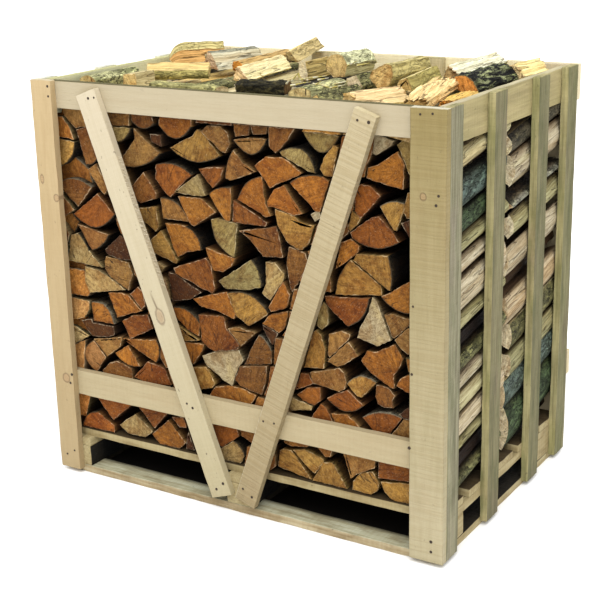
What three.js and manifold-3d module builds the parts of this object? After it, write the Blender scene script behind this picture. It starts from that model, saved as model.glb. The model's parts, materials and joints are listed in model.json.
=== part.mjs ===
// A pallet of split beech firewood: a slatted crate on a wooden base, filled with two ranks
// of logs whose cut ends face the front and the back, with loose logs on top.
// Millimetres. X runs along the front, Y to the back, Z up. The origin is on the ground
// under the middle of the crate.
import * as THREE from 'three';
import { mergeVertices } from 'three/addons/utils/BufferGeometryUtils.js';
import Module from 'manifold-3d';

const wasm = await Module();
wasm.setup();

// driving dimensions
const width = 1200;
const depth = 820;
const board = 20;
const fit = 0.3;
const footClearance = 12;
const postTop = 1110;
const frontPostWidth = [68, 90];
const sideSlatWidth = 70;
const sideSlatFronts = [-390, -150, 120, 320];
const firstSlatWidth = 65;
const backSlatCentre = 178;
const lowRail = [236, 307];
const frontTopRail = [1036, 1108];
const backTopRail = [1015, 1110];
const sideTopRail = [1016, 1108];
const deckTop = 126;
const deckBoard = 22;
const deckBoards = 5;
const deckBoardWidth = 118;
const footBoardWidth = 60;
const blockDepth = 140;
const blockHeight = 60;
const sideBlockWidth = 75;
const middleBlockWidth = 80;
const stringerWidth = 75;
const squeeze = 4.5;
const frontCorners = 6;
const backCorners = 5;
const endClearance = 2;
const frontRankEnd = -2;
const backRankStart = 2;
const deepBulge = 18;

// planes that follow from them
const halfWidth = width / 2;
const frontFace = -depth / 2;
const backFace = depth / 2;
const insideX = halfWidth - board;
const frontRailPlane = frontFace + board;
const insideFront = frontRailPlane + board;
const backSlatPlane = backFace - board;
const insideBack = backSlatPlane - board;

const object = new THREE.Group();

const spruce = () => new THREE.MeshStandardMaterial({ color: 0xdccfae, roughness: 0.75 });
const sawnPine = () => new THREE.MeshStandardMaterial({ color: 0xcdb98c, roughness: 0.8 });
const weatheredSlat = () => new THREE.MeshStandardMaterial({ color: 0xa89f86, roughness: 0.85 });
const palletWood = () => new THREE.MeshStandardMaterial({ color: 0xc9b98e, roughness: 0.85 });
const beech = () => new THREE.MeshStandardMaterial({ color: 0xbd8650, roughness: 0.8 });

// a straight board or block between opposite corners, kept a hair off its neighbours and
// standing exactly at its lower height
function addBoard(name, material, from, to) {
  const size = to.map((value, axis) => value - from[axis] - fit);
  const middle = to.map((value, axis) => (value + from[axis]) / 2);
  middle[2] -= fit / 2;
  const mesh = new THREE.Mesh(new THREE.BoxGeometry(...size), material());
  mesh.name = name;
  mesh.position.set(...middle);
  object.add(mesh);
}

function addFront() {
  const [leftWidth, rightWidth] = frontPostWidth;
  addBoard('post_front_left', spruce, [-halfWidth, frontFace, footClearance],
    [-halfWidth + leftWidth, frontRailPlane, postTop]);
  addBoard('post_front_right', sawnPine, [halfWidth - rightWidth, frontFace, footClearance],
    [halfWidth, frontRailPlane, postTop]);
  addBoard('rail_front_top', spruce, [-insideX, frontRailPlane, frontTopRail[0]],
    [insideX, insideFront, frontTopRail[1]]);
  addBoard('rail_front_low', spruce, [-insideX, frontRailPlane, lowRail[0]],
    [insideX, insideFront, lowRail[1]]);
}

// a slanting board on the front, cut square at both ends
function addBrace(name, material, foot, head, boardWidth) {
  const run = new THREE.Vector2(head[0] - foot[0], head[1] - foot[1]);
  const mesh = new THREE.Mesh(new THREE.BoxGeometry(boardWidth, board - fit, run.length()), material());
  mesh.name = name;
  mesh.rotation.y = Math.atan2(run.x, run.y);
  mesh.position.set((foot[0] + head[0]) / 2, frontFace + board / 2, (foot[1] + head[1]) / 2);
  object.add(mesh);
}

function addSide(label, sign) {
  const outer = sign * halfWidth;
  const inner = sign * insideX;
  const low = Math.min(outer, inner);
  const high = Math.max(outer, inner);
  sideSlatFronts.forEach((front, index) => {
    const slatWidth = index === 0 ? firstSlatWidth : sideSlatWidth;
    addBoard(`slat_${label}_${index + 1}`, weatheredSlat, [low, front, footClearance],
      [high, front + slatWidth, postTop]);
  });
  const railLow = Math.min(inner, inner - sign * board);
  addBoard(`rail_${label}_top`, weatheredSlat, [railLow, insideFront, sideTopRail[0]],
    [railLow + board, insideBack, sideTopRail[1]]);
}

// the back repeats the front's posts inside the side slats, with its rails outermost
function addBack() {
  const [first, second] = frontPostWidth;
  addBoard('post_back_left', spruce, [-insideX, insideBack, footClearance],
    [-insideX + first, backSlatPlane, postTop]);
  addBoard('post_back_right', spruce, [insideX - second, insideBack, footClearance],
    [insideX, backSlatPlane, postTop]);
  [-backSlatCentre, backSlatCentre].forEach((centre, index) => {
    addBoard(`slat_back_${index + 1}`, weatheredSlat,
      [centre - sideSlatWidth / 2, insideBack, deckTop - deckBoard],
      [centre + sideSlatWidth / 2, backSlatPlane, postTop]);
  });
  addBoard('rail_back_top', sawnPine, [-halfWidth, backSlatPlane, backTopRail[0]],
    [halfWidth, backFace, backTopRail[1]]);
  addBoard('rail_back_low', sawnPine, [-halfWidth, backSlatPlane, lowRail[0]],
    [halfWidth, backFace, lowRail[1]]);
}

// the base: foot boards, six blocks, three stringers and the deck boards
function addPallet() {
  const front = frontRailPlane;
  const back = insideBack;
  const footTop = deckBoard;
  const blockTop = footTop + blockHeight;
  const stringerTop = blockTop + deckBoard;
  const halfFoot = footBoardWidth / 2;
  addBoard('foot_front', palletWood, [-insideX, front, 0], [insideX, front + footBoardWidth, footTop]);
  addBoard('foot_back', palletWood, [-insideX, back - footBoardWidth, 0], [insideX, back, footTop]);
  const across = { left: -insideX + halfFoot, middle: 0, right: insideX - halfFoot };
  for (const [label, centre] of Object.entries(across)) {
    addBoard(`foot_${label}`, palletWood, [centre - halfFoot, front + footBoardWidth, 0],
      [centre + halfFoot, back - footBoardWidth, footTop]);
  }
  const halfMiddle = middleBlockWidth / 2;
  const columns = {
    left: [-insideX, -insideX + sideBlockWidth],
    middle: [-halfMiddle, halfMiddle],
    right: [insideX - sideBlockWidth, insideX],
  };
  for (const [label, [from, to]] of Object.entries(columns)) {
    addBoard(`block_front_${label}`, palletWood, [from, front, footTop],
      [to, front + blockDepth, blockTop]);
    addBoard(`block_back_${label}`, palletWood, [from, back - blockDepth, footTop],
      [to, back, blockTop]);
    const centre = (from + to) / 2;
    addBoard(`stringer_${label}`, palletWood, [centre - stringerWidth / 2, front, blockTop],
      [centre + stringerWidth / 2, back, stringerTop]);
  }
  const deckDepth = back - insideFront;
  const pitch = (deckDepth - deckBoardWidth) / (deckBoards - 1);
  for (let index = 0; index < deckBoards; index += 1) {
    const start = insideFront + index * pitch;
    addBoard(`deck_${index + 1}`, palletWood, [-insideX, start, stringerTop],
      [insideX, start + deckBoardWidth, deckTop]);
  }
}

// cut ends of the logs as they show from the front: the bulge of the first edge, which is the
// bark side, and the corners in the plane of the ends
const logEnds = [
  // lowest row, left bay
  [14, [-546, 129], [-489, 182], [-434, 150], [-434, 129]],
  [0, [-578, 284], [-524, 282], [-512, 235], [-538, 157], [-578, 158]],
  [0, [-508, 284], [-367, 286], [-368, 225], [-432, 169], [-483, 225]],
  [0, [-417, 155], [-357, 200], [-301, 157], [-330, 135], [-390, 135]],
  [0, [-362, 286], [-345, 225], [-292, 170], [-243, 225], [-256, 284]],
  [0, [-300, 153], [-241, 206], [-187, 150], [-210, 128], [-276, 128]],
  // left bay above the lower rail
  [0, [-578, 426], [-548, 423], [-506, 403], [-560, 369], [-578, 366]],
  [0, [-578, 362], [-518, 389], [-527, 308], [-530, 290], [-578, 290]],
  [38, [-487, 298], [-488, 394], [-447, 351]],
  [0, [-488, 397], [-450, 404], [-383, 421], [-392, 391], [-442, 353]],
  [14, [-331, 342], [-415, 368], [-367, 398]],
  [0, [-460, 312], [-432, 338], [-405, 347], [-357, 333], [-354, 300], [-455, 298]],
  [10, [-226, 308], [-351, 311], [-302, 363], [-245, 352]],
  [10, [-268, 428], [-275, 362], [-330, 388], [-381, 417]],
  [0, [-378, 467], [-345, 487], [-292, 497], [-276, 461], [-352, 421]],
  [0, [-424, 539], [-375, 546], [-350, 541], [-308, 506], [-400, 472]],
  [0, [-347, 548], [-318, 572], [-300, 560], [-298, 520], [-309, 510]],
  [24, [-488, 504], [-409, 452], [-484, 450]],
  [0, [-522, 448], [-486, 456], [-484, 446], [-412, 445], [-412, 420], [-440, 410], [-490, 407]],
  [0, [-578, 508], [-492, 505], [-494, 482], [-514, 455], [-578, 441]],
  [0, [-578, 590], [-505, 590], [-502, 560], [-486, 535], [-500, 518], [-578, 516]],
  // left bay, middle
  [0, [-497, 604], [-452, 600], [-362, 556], [-425, 544], [-484, 533], [-499, 565]],
  [4, [-513, 696], [-482, 650], [-441, 606], [-558, 614], [-538, 688]],
  [8, [-407, 703], [-466, 653], [-514, 720]],
  [36, [-385, 760], [-528, 746], [-438, 812]],
  [0, [-421, 662], [-366, 708], [-340, 700], [-336, 642], [-380, 640], [-415, 650]],
  [0, [-431, 627], [-422, 642], [-392, 640], [-345, 634], [-333, 605],
    [-352, 556], [-410, 583], [-430, 606]],
  [0, [-578, 800], [-562, 795], [-522, 758], [-558, 738], [-578, 735]],
  [0, [-578, 722], [-558, 714], [-543, 690], [-550, 668], [-578, 650]],
  [22, [-578, 822], [-455, 827], [-508, 769], [-563, 814]],
  [0, [-300, 787], [-241, 798], [-236, 745], [-248, 731], [-300, 762]],
  [0, [-268, 705], [-232, 736], [-184, 661], [-190, 651], [-261, 671]],
  [0, [-262, 640], [-250, 648], [-224, 638], [-240, 619]],
  // left bay, top
  [0, [-578, 1008], [-540, 1010], [-513, 975], [-502, 951], [-578, 957]],
  [0, [-545, 1035], [-470, 1040], [-455, 990], [-497, 981], [-535, 1012]],
  [16, [-499, 945], [-562, 874], [-578, 870], [-578, 950]],
  [6, [-430, 905], [-468, 887], [-496, 978], [-460, 988]],
  [0, [-462, 875], [-432, 893], [-400, 830], [-414, 811], [-425, 822]],
  [0, [-392, 1035], [-315, 1035], [-317, 1000], [-380, 997]],
  [38, [-308, 996], [-392, 996]],
  [16, [-236, 1012], [-306, 1013], [-308, 1035], [-240, 1035]],
  [14, [-222, 936], [-345, 893], [-347, 915], [-300, 968], [-300, 996]],
  [0, [-277, 885], [-236, 833], [-240, 818], [-287, 802], [-310, 812], [-318, 845]],
  [0, [-250, 985], [-215, 985], [-215, 955], [-248, 965]],
  // lowest row, middle and right bay
  [0, [-230, 216], [-192, 224], [-180, 196], [-203, 192]],
  [0, [-178, 182], [-160, 132], [-188, 130], [-184, 165]],
  [0, [-112, 282], [-26, 280], [-10, 206], [-66, 163], [-92, 170]],
  [6, [-30, 188], [4, 152], [-10, 128], [-68, 128], [-78, 152]],
  [0, [106, 143], [112, 190], [125, 198], [149, 199], [207, 129], [190, 129]],
  [0, [155, 202], [190, 212], [245, 196], [246, 188], [222, 152], [205, 160]],
  [0, [240, 186], [272, 190], [300, 148], [312, 128], [210, 128], [226, 154]],
  [0, [286, 282], [396, 280], [393, 204], [345, 178], [326, 162]],
  [0, [328, 152], [350, 180], [386, 192], [404, 165], [400, 145], [380, 128], [325, 128]],
  [0, [405, 284], [500, 282], [500, 190], [405, 182]],
  [0, [410, 172], [478, 181], [502, 181], [502, 128], [440, 128], [420, 146]],
  // middle bay above the lower rail
  [0, [-142, 563], [-95, 578], [-33, 597], [-5, 545], [-12, 528], [-60, 541], [-115, 545]],
  [24, [-28, 596], [92, 560], [88, 553], [35, 517], [0, 537], [-8, 548]],
  [0, [92, 552], [105, 560], [150, 572], [140, 530], [122, 512], [75, 530]],
  [0, [75, 528], [120, 511], [105, 478], [97, 485], [78, 515]],
  [6, [60, 497], [98, 460], [96, 425], [55, 415], [12, 408], [38, 460]],
  [0, [-32, 500], [0, 508], [55, 502], [5, 457]],
  [0, [-125, 522], [-45, 530], [-38, 500], [2, 460], [-2, 448],
    [-75, 430], [-98, 438], [-118, 452]],
  [14, [-208, 530], [-124, 500], [-128, 462], [-165, 475], [-205, 508]],
  [0, [-200, 488], [-126, 452], [-150, 446], [-182, 440]],
  [0, [-182, 438], [-110, 444], [-118, 425], [-150, 380], [-172, 395]],
  [0, [-160, 370], [-106, 382], [-88, 360], [-80, 338], [-90, 326], [-145, 310]],
  [0, [-120, 410], [-68, 432], [-4, 446], [9, 418], [-8, 395], [-27, 342], [-50, 352], [-110, 388]],
  [0, [0, 402], [88, 420], [80, 372], [66, 335], [-2, 348], [-17, 362]],
  [0, [-82, 330], [-30, 342], [10, 342], [48, 330], [38, 312], [20, 290], [-90, 290], [-105, 300]],
  // middle bay, middle
  [20, [-228, 822], [-140, 768], [-224, 767]],
  [0, [-170, 832], [-100, 834], [-75, 818], [-54, 803], [-122, 760], [-136, 768], [-150, 795]],
  [13, [-150, 756], [-106, 697], [-150, 688], [-182, 670], [-195, 692], [-216, 757]],
  [0, [-195, 640], [-92, 680], [-76, 660], [-68, 600], [-78, 586], [-190, 625]],
  [0, [-218, 625], [-195, 622], [-112, 584], [-150, 560], [-208, 546]],
  [0, [-92, 706], [-55, 699], [0, 690], [-12, 668], [-38, 650], [-68, 650], [-84, 680]],
  [20, [-2, 692], [-74, 782], [-50, 787], [10, 780]],
  [0, [12, 762], [120, 784], [128, 760], [138, 708], [80, 704], [45, 742]],
  [8, [52, 695], [76, 625], [30, 612], [-38, 605], [-58, 622]],
  [0, [86, 690], [112, 692], [142, 668], [138, 648], [100, 594], [76, 610], [88, 635]],
  // middle bay, top
  [32, [-120, 1012], [-218, 1010], [-215, 1032], [-118, 1032]],
  [26, [-38, 945], [-190, 955], [-118, 990], [-104, 1007], [-90, 1005], [-60, 970]],
  [0, [-88, 1004], [-68, 1020], [-30, 1022], [-8, 1005], [-4, 980], [-18, 955], [-30, 958]],
  [38, [104, 1000], [6, 990], [50, 999]],
  [0, [8, 1030], [55, 1030], [50, 1004], [12, 998]],
  [0, [60, 1032], [108, 1030], [104, 1012], [66, 1008]],
  [6, [-22, 892], [4, 966], [30, 935], [68, 916], [25, 898], [-8, 888]],
  [0, [-102, 908], [-60, 917], [-26, 918], [-36, 885], [-60, 864], [-78, 880]],
  [14, [-236, 908], [-127, 890], [-160, 862], [-196, 826], [-212, 838], [-240, 870]],
  [0, [-182, 842], [-106, 894], [-96, 880], [-84, 842], [-120, 838]],
  [6, [-74, 848], [-6, 872], [-4, 850], [-14, 785], [-26, 784], [-52, 812]],
  [0, [-2, 838], [50, 815], [96, 792], [90, 781], [-8, 781]],
  [14, [12, 842], [86, 908], [90, 880], [96, 842], [112, 812], [98, 808]],
  // right bay above the lower rail
  [0, [148, 348], [170, 342], [216, 334], [212, 322], [145, 308]],
  [0, [172, 357], [200, 380], [240, 388], [240, 352], [222, 338], [190, 344]],
  [0, [182, 416], [205, 416], [218, 394], [200, 384], [166, 368]],
  [0, [213, 424], [296, 450], [311, 438], [317, 418], [312, 398], [296, 388], [222, 396]],
  [0, [192, 432], [252, 440], [256, 490], [246, 528], [232, 538], [222, 530]],
  [0, [266, 532], [302, 546], [328, 540], [322, 526], [278, 482], [262, 464]],
  [0, [322, 522], [350, 490], [312, 462], [292, 453], [264, 462], [282, 482]],
  [0, [357, 478], [372, 506], [398, 508], [448, 535], [470, 502], [464, 484],
    [446, 458], [447, 424], [436, 424], [384, 452]],
  [18, [318, 414], [398, 430], [392, 422], [358, 384], [346, 386]],
  [0, [396, 422], [428, 422], [449, 404], [441, 390], [444, 372],
    [420, 369], [400, 374], [393, 392]],
  [0, [453, 432], [462, 450], [484, 464], [520, 470], [520, 422], [478, 420]],
  [14, [360, 333], [468, 352], [425, 292], [402, 292]],
  [0, [471, 348], [500, 350], [505, 300], [434, 296]],
  [0, [460, 360], [482, 380], [500, 384], [500, 352], [472, 350]],
  [26, [362, 362], [256, 362], [288, 382], [318, 396], [340, 380]],
  [0, [270, 324], [318, 330], [372, 292], [284, 292]],
  [0, [203, 290], [240, 345], [256, 334], [280, 290]],
  // right bay, middle
  [0, [101, 846], [122, 878], [150, 892], [200, 826], [176, 820], [120, 834], [103, 834]],
  [0, [176, 818], [196, 802], [232, 800], [214, 752], [195, 735],
    [178, 736], [150, 754], [128, 790], [121, 830]],
  [0, [156, 738], [205, 728], [215, 700], [165, 625], [158, 640], [148, 690]],
  [0, [143, 645], [160, 618], [152, 590], [145, 580], [103, 566],
    [95, 576], [118, 615], [140, 648]],
  [0, [306, 768], [332, 780], [353, 764], [350, 748], [318, 722], [288, 700]],
  [6, [434, 752], [438, 667], [430, 668], [338, 728], [346, 744]],
  [10, [288, 636], [328, 728], [408, 674], [412, 650]],
  [14, [382, 640], [322, 560], [312, 566], [262, 606], [256, 628]],
  [0, [386, 642], [399, 634], [438, 544], [402, 524], [382, 530],
    [347, 536], [354, 562], [378, 604]],
  [0, [418, 604], [440, 609], [500, 600], [484, 586], [446, 550], [438, 553]],
  [0, [450, 548], [484, 582], [520, 582], [520, 518], [482, 516], [462, 532]],
  [10, [486, 616], [412, 650], [440, 664], [486, 695], [530, 700], [530, 618]],
  [20, [460, 786], [336, 782], [330, 795], [388, 838], [408, 843], [440, 812]],
  [0, [252, 612], [263, 600], [264, 556], [246, 540], [232, 548], [238, 590]],
  // right bay, top
  [0, [112, 1030], [184, 1032], [165, 1002], [148, 984], [130, 968], [112, 984]],
  [36, [140, 972], [238, 926], [215, 931], [180, 948], [146, 962]],
  [46, [306, 1022], [205, 1026]],
  [0, [252, 940], [262, 965], [290, 1000], [303, 995], [285, 925], [262, 925]],
  [0, [68, 932], [100, 957], [145, 958], [165, 950], [198, 924],
    [188, 917], [125, 890], [108, 879], [84, 910]],
  [10, [166, 900], [256, 922], [274, 912], [250, 836], [238, 836], [180, 886]],
  [0, [220, 826], [245, 840], [250, 822], [234, 810]],
  [0, [376, 930], [380, 955], [404, 963], [456, 998], [474, 968], [472, 912], [420, 920]],
  [0, [398, 1032], [446, 1022], [440, 1010], [400, 985], [392, 990]],
  [0, [452, 1012], [470, 1030], [530, 1030], [530, 950], [486, 944], [470, 978]],
  [0, [345, 905], [362, 915], [386, 911], [412, 890], [360, 832], [345, 850]],
  [8, [408, 866], [474, 880], [470, 856], [452, 812], [444, 812]],
  [0, [474, 876], [482, 905], [540, 912], [540, 850], [480, 846], [472, 858]],
  [0, [462, 832], [484, 842], [530, 842], [530, 798], [488, 796]],
  [0, [326, 806], [338, 848], [360, 832], [350, 816], [332, 800]],
  // behind the left brace and the lower rail
  [0, [-464, 1030], [-400, 1030], [-396, 1004], [-450, 968]],
  [0, [-442, 958], [-398, 992], [-388, 972], [-368, 955], [-352, 918], [-352, 893], [-425, 898]],
  [0, [-422, 888], [-340, 885], [-322, 850], [-318, 818], [-330, 806], [-396, 826]],
  [0, [-396, 812], [-330, 800], [-305, 792], [-304, 765], [-335, 745], [-376, 762]],
  [0, [-382, 750], [-340, 740], [-290, 750], [-274, 708], [-338, 704], [-364, 712]],
  [0, [-334, 698], [-274, 700], [-266, 672], [-268, 642], [-300, 628], [-332, 642]],
  [0, [-326, 632], [-270, 634], [-244, 614], [-222, 600], [-214, 550], [-296, 566], [-328, 604]],
  [0, [-294, 556], [-214, 540], [-212, 508], [-288, 500]],
  [0, [-286, 492], [-208, 500], [-188, 444], [-258, 440], [-272, 462]],
  [0, [-254, 434], [-190, 436], [-176, 398], [-164, 374], [-238, 358], [-256, 380]],
  [0, [-236, 352], [-166, 366], [-150, 312], [-158, 296], [-216, 296], [-220, 312]],
  [0, [-248, 286], [-140, 290], [-118, 268], [-108, 236], [-150, 205], [-186, 230], [-236, 232]],
  [0, [-172, 194], [-150, 200], [-100, 178], [-82, 150], [-74, 129], [-152, 129]],
  [0, [-14, 284], [84, 286], [110, 240], [100, 205], [30, 192], [-4, 208]],
  [0, [12, 180], [96, 196], [100, 144], [84, 129], [2, 129], [10, 154]],
  [0, [118, 284], [196, 284], [222, 240], [196, 218], [152, 210], [126, 214]],
  [0, [206, 284], [280, 282], [276, 250], [268, 206], [250, 202], [226, 228]],
  // behind the right brace
  [0, [312, 1022], [394, 1030], [388, 988], [374, 958], [370, 932], [292, 924], [306, 990]],
  [0, [280, 914], [340, 910], [342, 852], [324, 838], [256, 832]],
  [0, [254, 824], [320, 828], [326, 796], [302, 768], [294, 738], [220, 752], [238, 800]],
  [0, [214, 736], [284, 730], [276, 690], [276, 640], [196, 636], [186, 660], [220, 700]],
  [0, [172, 634], [250, 630], [240, 608], [232, 588], [226, 562], [156, 580], [166, 614]],
  [0, [154, 572], [228, 558], [224, 542], [216, 520], [206, 492], [130, 505], [146, 530]],
  [0, [112, 498], [206, 488], [188, 436], [178, 420], [104, 424], [106, 462]],
  [0, [94, 418], [174, 414], [162, 370], [146, 352], [142, 320], [72, 336], [86, 372]],
  [0, [54, 328], [136, 316], [150, 300], [196, 294], [110, 288], [34, 290]],
  // behind the right post
  [0, [536, 1008], [577, 1008], [577, 958], [536, 950]],
  [0, [546, 940], [575, 934], [577, 872], [548, 868]],
  [0, [538, 860], [575, 858], [578, 812], [538, 800]],
  [0, [490, 788], [577, 800], [577, 758], [494, 750]],
  [0, [500, 742], [577, 750], [577, 706], [538, 708], [492, 702]],
  [0, [538, 696], [577, 694], [577, 622], [538, 622]],
  [0, [508, 611], [577, 611], [577, 566], [528, 562], [528, 588], [494, 590]],
  [0, [527, 554], [556, 548], [558, 520], [527, 516]],
  [0, [478, 508], [577, 506], [577, 468], [528, 476], [486, 472]],
  [0, [528, 460], [577, 458], [577, 414], [528, 418]],
  [0, [490, 412], [577, 406], [577, 360], [508, 354], [508, 388], [488, 396]],
  [0, [508, 344], [577, 350], [577, 300], [514, 300]],
  [0, [510, 291], [577, 291], [577, 262], [508, 250]],
  [0, [508, 240], [560, 238], [560, 204], [508, 190]],
  [0, [508, 184], [577, 194], [577, 158], [510, 130]],
];

// logs above the rim of the front rank: outline as above
const frontTopLogs = [
  [8, [-550, 1036], [-540, 1064], [-470, 1068], [-452, 1036]],
  [0, [-446, 1034], [-436, 1062], [-352, 1070], [-330, 1034]],
  [10, [-318, 1064], [-240, 1068], [-226, 1034], [-322, 1034]],
  [0, [-216, 1034], [-206, 1062], [-130, 1070], [-112, 1034]],
  [6, [-92, 1050], [-6, 1054], [2, 1024], [-104, 1024]],
  [0, [10, 1030], [20, 1044], [96, 1045], [104, 1032]],
  [0, [112, 1032], [130, 1044], [180, 1045], [196, 1032]],
  [0, [206, 1026], [226, 1050], [296, 1050], [306, 1024]],
  [0, [314, 1026], [330, 1050], [390, 1050], [398, 1032]],
  [0, [404, 1032], [420, 1046], [500, 1048], [552, 1030]],
];

// the same for the back rank
const backTopLogs = [
  [0, [-552, 1030], [-548, 1070], [-500, 1078], [-486, 1030]],
  [14, [-484, 1062], [-452, 1066], [-440, 1032], [-480, 1032]],
  [0, [-434, 1030], [-430, 1062], [-330, 1062], [-312, 1030]],
  [10, [-296, 1066], [-240, 1068], [-222, 1030], [-304, 1030]],
  [0, [-214, 1030], [-206, 1068], [-120, 1070], [-104, 1030]],
  [8, [-88, 1056], [-20, 1060], [-6, 1016], [-96, 1024]],
  [0, [0, 1024], [8, 1062], [86, 1062], [96, 1024]],
  [0, [166, 1026], [172, 1060], [240, 1062], [256, 1026]],
  [6, [276, 1060], [360, 1064], [372, 1026], [266, 1026]],
  [0, [380, 1030], [390, 1058], [480, 1058], [552, 1034]],
];

// logs that lie deeper in the gaps at the left of the front rank: start, bulge and corners
const deepLogs = [
  { start: -346, outline: [6, [-578, 872], [-516, 900], [-474, 872], [-466, 838], [-470, 824], [-578, 820]] },
  { start: -346, outline: [0, [-552, 1036], [-540, 1036], [-530, 1012], [-574, 1000], [-574, 1008],
    [-552, 1010]] },
  { start: -350, outline: [0, [-578, 740], [-545, 748], [-520, 722], [-540, 690], [-560, 706], [-578, 714]] },
  { start: -350, outline: [0, [-578, 586], [-578, 625], [-554, 636], [-540, 608], [-506, 606], [-500, 586]] },
  { start: -350, outline: [0, [-578, 420], [-578, 446], [-520, 458], [-500, 440], [-510, 406], [-545, 418]] },
  { start: -350, outline: [0, [-578, 127], [-578, 162], [-546, 165], [-536, 142], [-544, 127]] },
];

// short logs thrown on the rim of a rank: start, length, bulge and corners
const rimLogs = {
  front: [
    { start: -285, length: 195, outline: [12, [-540, 1098], [-484, 1096], [-490, 1066], [-534, 1066]] },
    { start: -228, length: 80, outline: [0, [-440, 1064], [-436, 1108], [-396, 1112], [-388, 1064]] },
    { start: -190, length: 184, outline: [10, [58, 1084], [122, 1092], [128, 1040], [60, 1040]] },
    { start: -260, length: 200, outline: [0, [146, 1040], [144, 1078], [182, 1096], [210, 1072],
      [206, 1040]] },
  ],
  back: [
    { start: 160, length: 205, outline: [0, [-128, 1060], [-126, 1106], [-106, 1110], [-96, 1060]] },
    { start: 20, length: 250, outline: [0, [98, 1024], [106, 1094], [134, 1104], [152, 1076], [146, 1024]] },
  ],
};

// how far each log end in turn stands back from the front of its rank
const setBacks = [0, 3, 1, 5, 1, 2, 6, 1, 4, 2, 5, 0, 3, 4];

// points of a bark edge between two corners, bowed away from the rest of the log
function barkArc(from, to, bulge, rest) {
  const run = [to[0] - from[0], to[1] - from[1]];
  const reach = Math.hypot(...run);
  const normal = [-run[1] / reach, run[0] / reach];
  const middle = rest.reduce((sum, corner) => [sum[0] + corner[0], sum[1] + corner[1]], [0, 0])
    .map((value) => value / rest.length);
  const side = (middle[0] - from[0]) * normal[0] + (middle[1] - from[1]) * normal[1];
  const bow = side > 0 ? -bulge : bulge;
  const points = [];
  const steps = bulge > deepBulge ? 4 : 2;
  for (let step = 1; step < steps; step += 1) {
    const along = step / steps;
    const rise = bow * (1 - (2 * along - 1) ** 2);
    points.push([from[0] + run[0] * along + normal[0] * rise, from[1] + run[1] * along + normal[1] * rise]);
  }
  return points;
}

// an outline's corners with its bark arc, turning anticlockwise
function outlineOf([bulge, first, second, ...rest]) {
  const arc = bulge > 0 ? barkArc(first, second, bulge, rest) : [];
  const points = [first, ...arc, second, ...rest].map(([x, z]) => new THREE.Vector2(x, z));
  return THREE.ShapeUtils.area(points) > 0 ? points : points.reverse();
}

// the outline without its slightest corners, down to a few
function blunted(points, corners) {
  const kept = [...points];
  const slightness = (index) => {
    const before = kept[(index + kept.length - 1) % kept.length];
    const after = kept[(index + 1) % kept.length];
    return Math.abs(THREE.ShapeUtils.area([before, kept[index], after]));
  };
  while (kept.length > corners) {
    const areas = kept.map((point, index) => slightness(index));
    kept.splice(areas.indexOf(Math.min(...areas)), 1);
  }
  return kept;
}

// the outline pushed outwards, so that logs packed tightly press into each other
function pressed(points, amount) {
  return points.map((point, index) => {
    const before = points[(index + points.length - 1) % points.length];
    const after = points[(index + 1) % points.length];
    const inward = point.clone().sub(before).normalize();
    const outward = after.clone().sub(point).normalize();
    const push = new THREE.Vector2(inward.y + outward.y, -inward.x - outward.x);
    const reach = amount / Math.max(0.5, push.lengthSq() / 2);
    const moved = point.clone().addScaledVector(push, reach);
    moved.x = THREE.MathUtils.clamp(moved.x, fit - insideX, insideX - fit);
    moved.y = Math.max(moved.y, deckTop + fit);
    return moved;
  });
}

// a prism that runs from start to end along Y
function prism(points, start, end) {
  const geometry = new THREE.ExtrudeGeometry(new THREE.Shape(points), {
    depth: end - start,
    bevelEnabled: false,
  });
  geometry.rotateX(Math.PI / 2);
  geometry.translate(0, end, 0);
  return geometry;
}

function solidOf(geometry) {
  const bare = geometry.clone();
  bare.deleteAttribute('normal');
  bare.deleteAttribute('uv');
  const merged = mergeVertices(bare, 0.0001);
  return new wasm.Manifold(new wasm.Mesh({
    numProp: 3,
    vertProperties: new Float32Array(merged.attributes.position.array),
    triVerts: new Uint32Array(merged.index.array),
  }));
}

function geometryOf(solid) {
  const mesh = solid.getMesh();
  const geometry = new THREE.BufferGeometry();
  geometry.setAttribute('position', new THREE.BufferAttribute(new Float32Array(mesh.vertProperties), 3));
  geometry.setIndex(new THREE.BufferAttribute(new Uint32Array(mesh.triVerts), 1));
  geometry.computeVertexNormals();
  return geometry;
}

// a whole rank is one solid, because its logs press into each other
function addRank(name, logs, corners) {
  let rank = null;
  for (const { points, start, end } of logs) {
    const log = solidOf(prism(pressed(blunted(points, corners), squeeze), start, end));
    rank = rank === null ? log : rank.add(log);
  }
  const mesh = new THREE.Mesh(geometryOf(rank), beech());
  mesh.name = name;
  object.add(mesh);
}

function setBackOf(index) {
  return setBacks[index % setBacks.length];
}

function frontRank() {
  const rows = [...logEnds, ...frontTopLogs].map((outline, index) => {
    const start = insideFront + endClearance + setBackOf(index);
    return { points: outlineOf(outline), start, end: frontRankEnd - setBackOf(index + 5) };
  });
  const deep = deepLogs.map(({ start, outline }) => (
    { points: outlineOf(outline), start, end: frontRankEnd }));
  const rim = rimLogs.front.map(({ start, length, outline }) => (
    { points: outlineOf(outline), start, end: start + length }));
  return [...rows, ...deep, ...rim];
}

// seen from the back, the second rank looks like the first one mirrored
function backRank() {
  const mirrored = ([bulge, ...corners]) => [bulge, ...corners.map(([x, z]) => [-x, z])];
  const rows = [...logEnds.map(mirrored), ...backTopLogs].map((outline, index) => {
    const start = backRankStart + setBackOf(index + 3);
    return { points: outlineOf(outline), start, end: insideBack - endClearance - setBackOf(index + 7) };
  });
  const rim = rimLogs.back.map(({ start, length, outline }) => (
    { points: outlineOf(outline), start, end: start + length }));
  return [...rows, ...rim];
}

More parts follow.
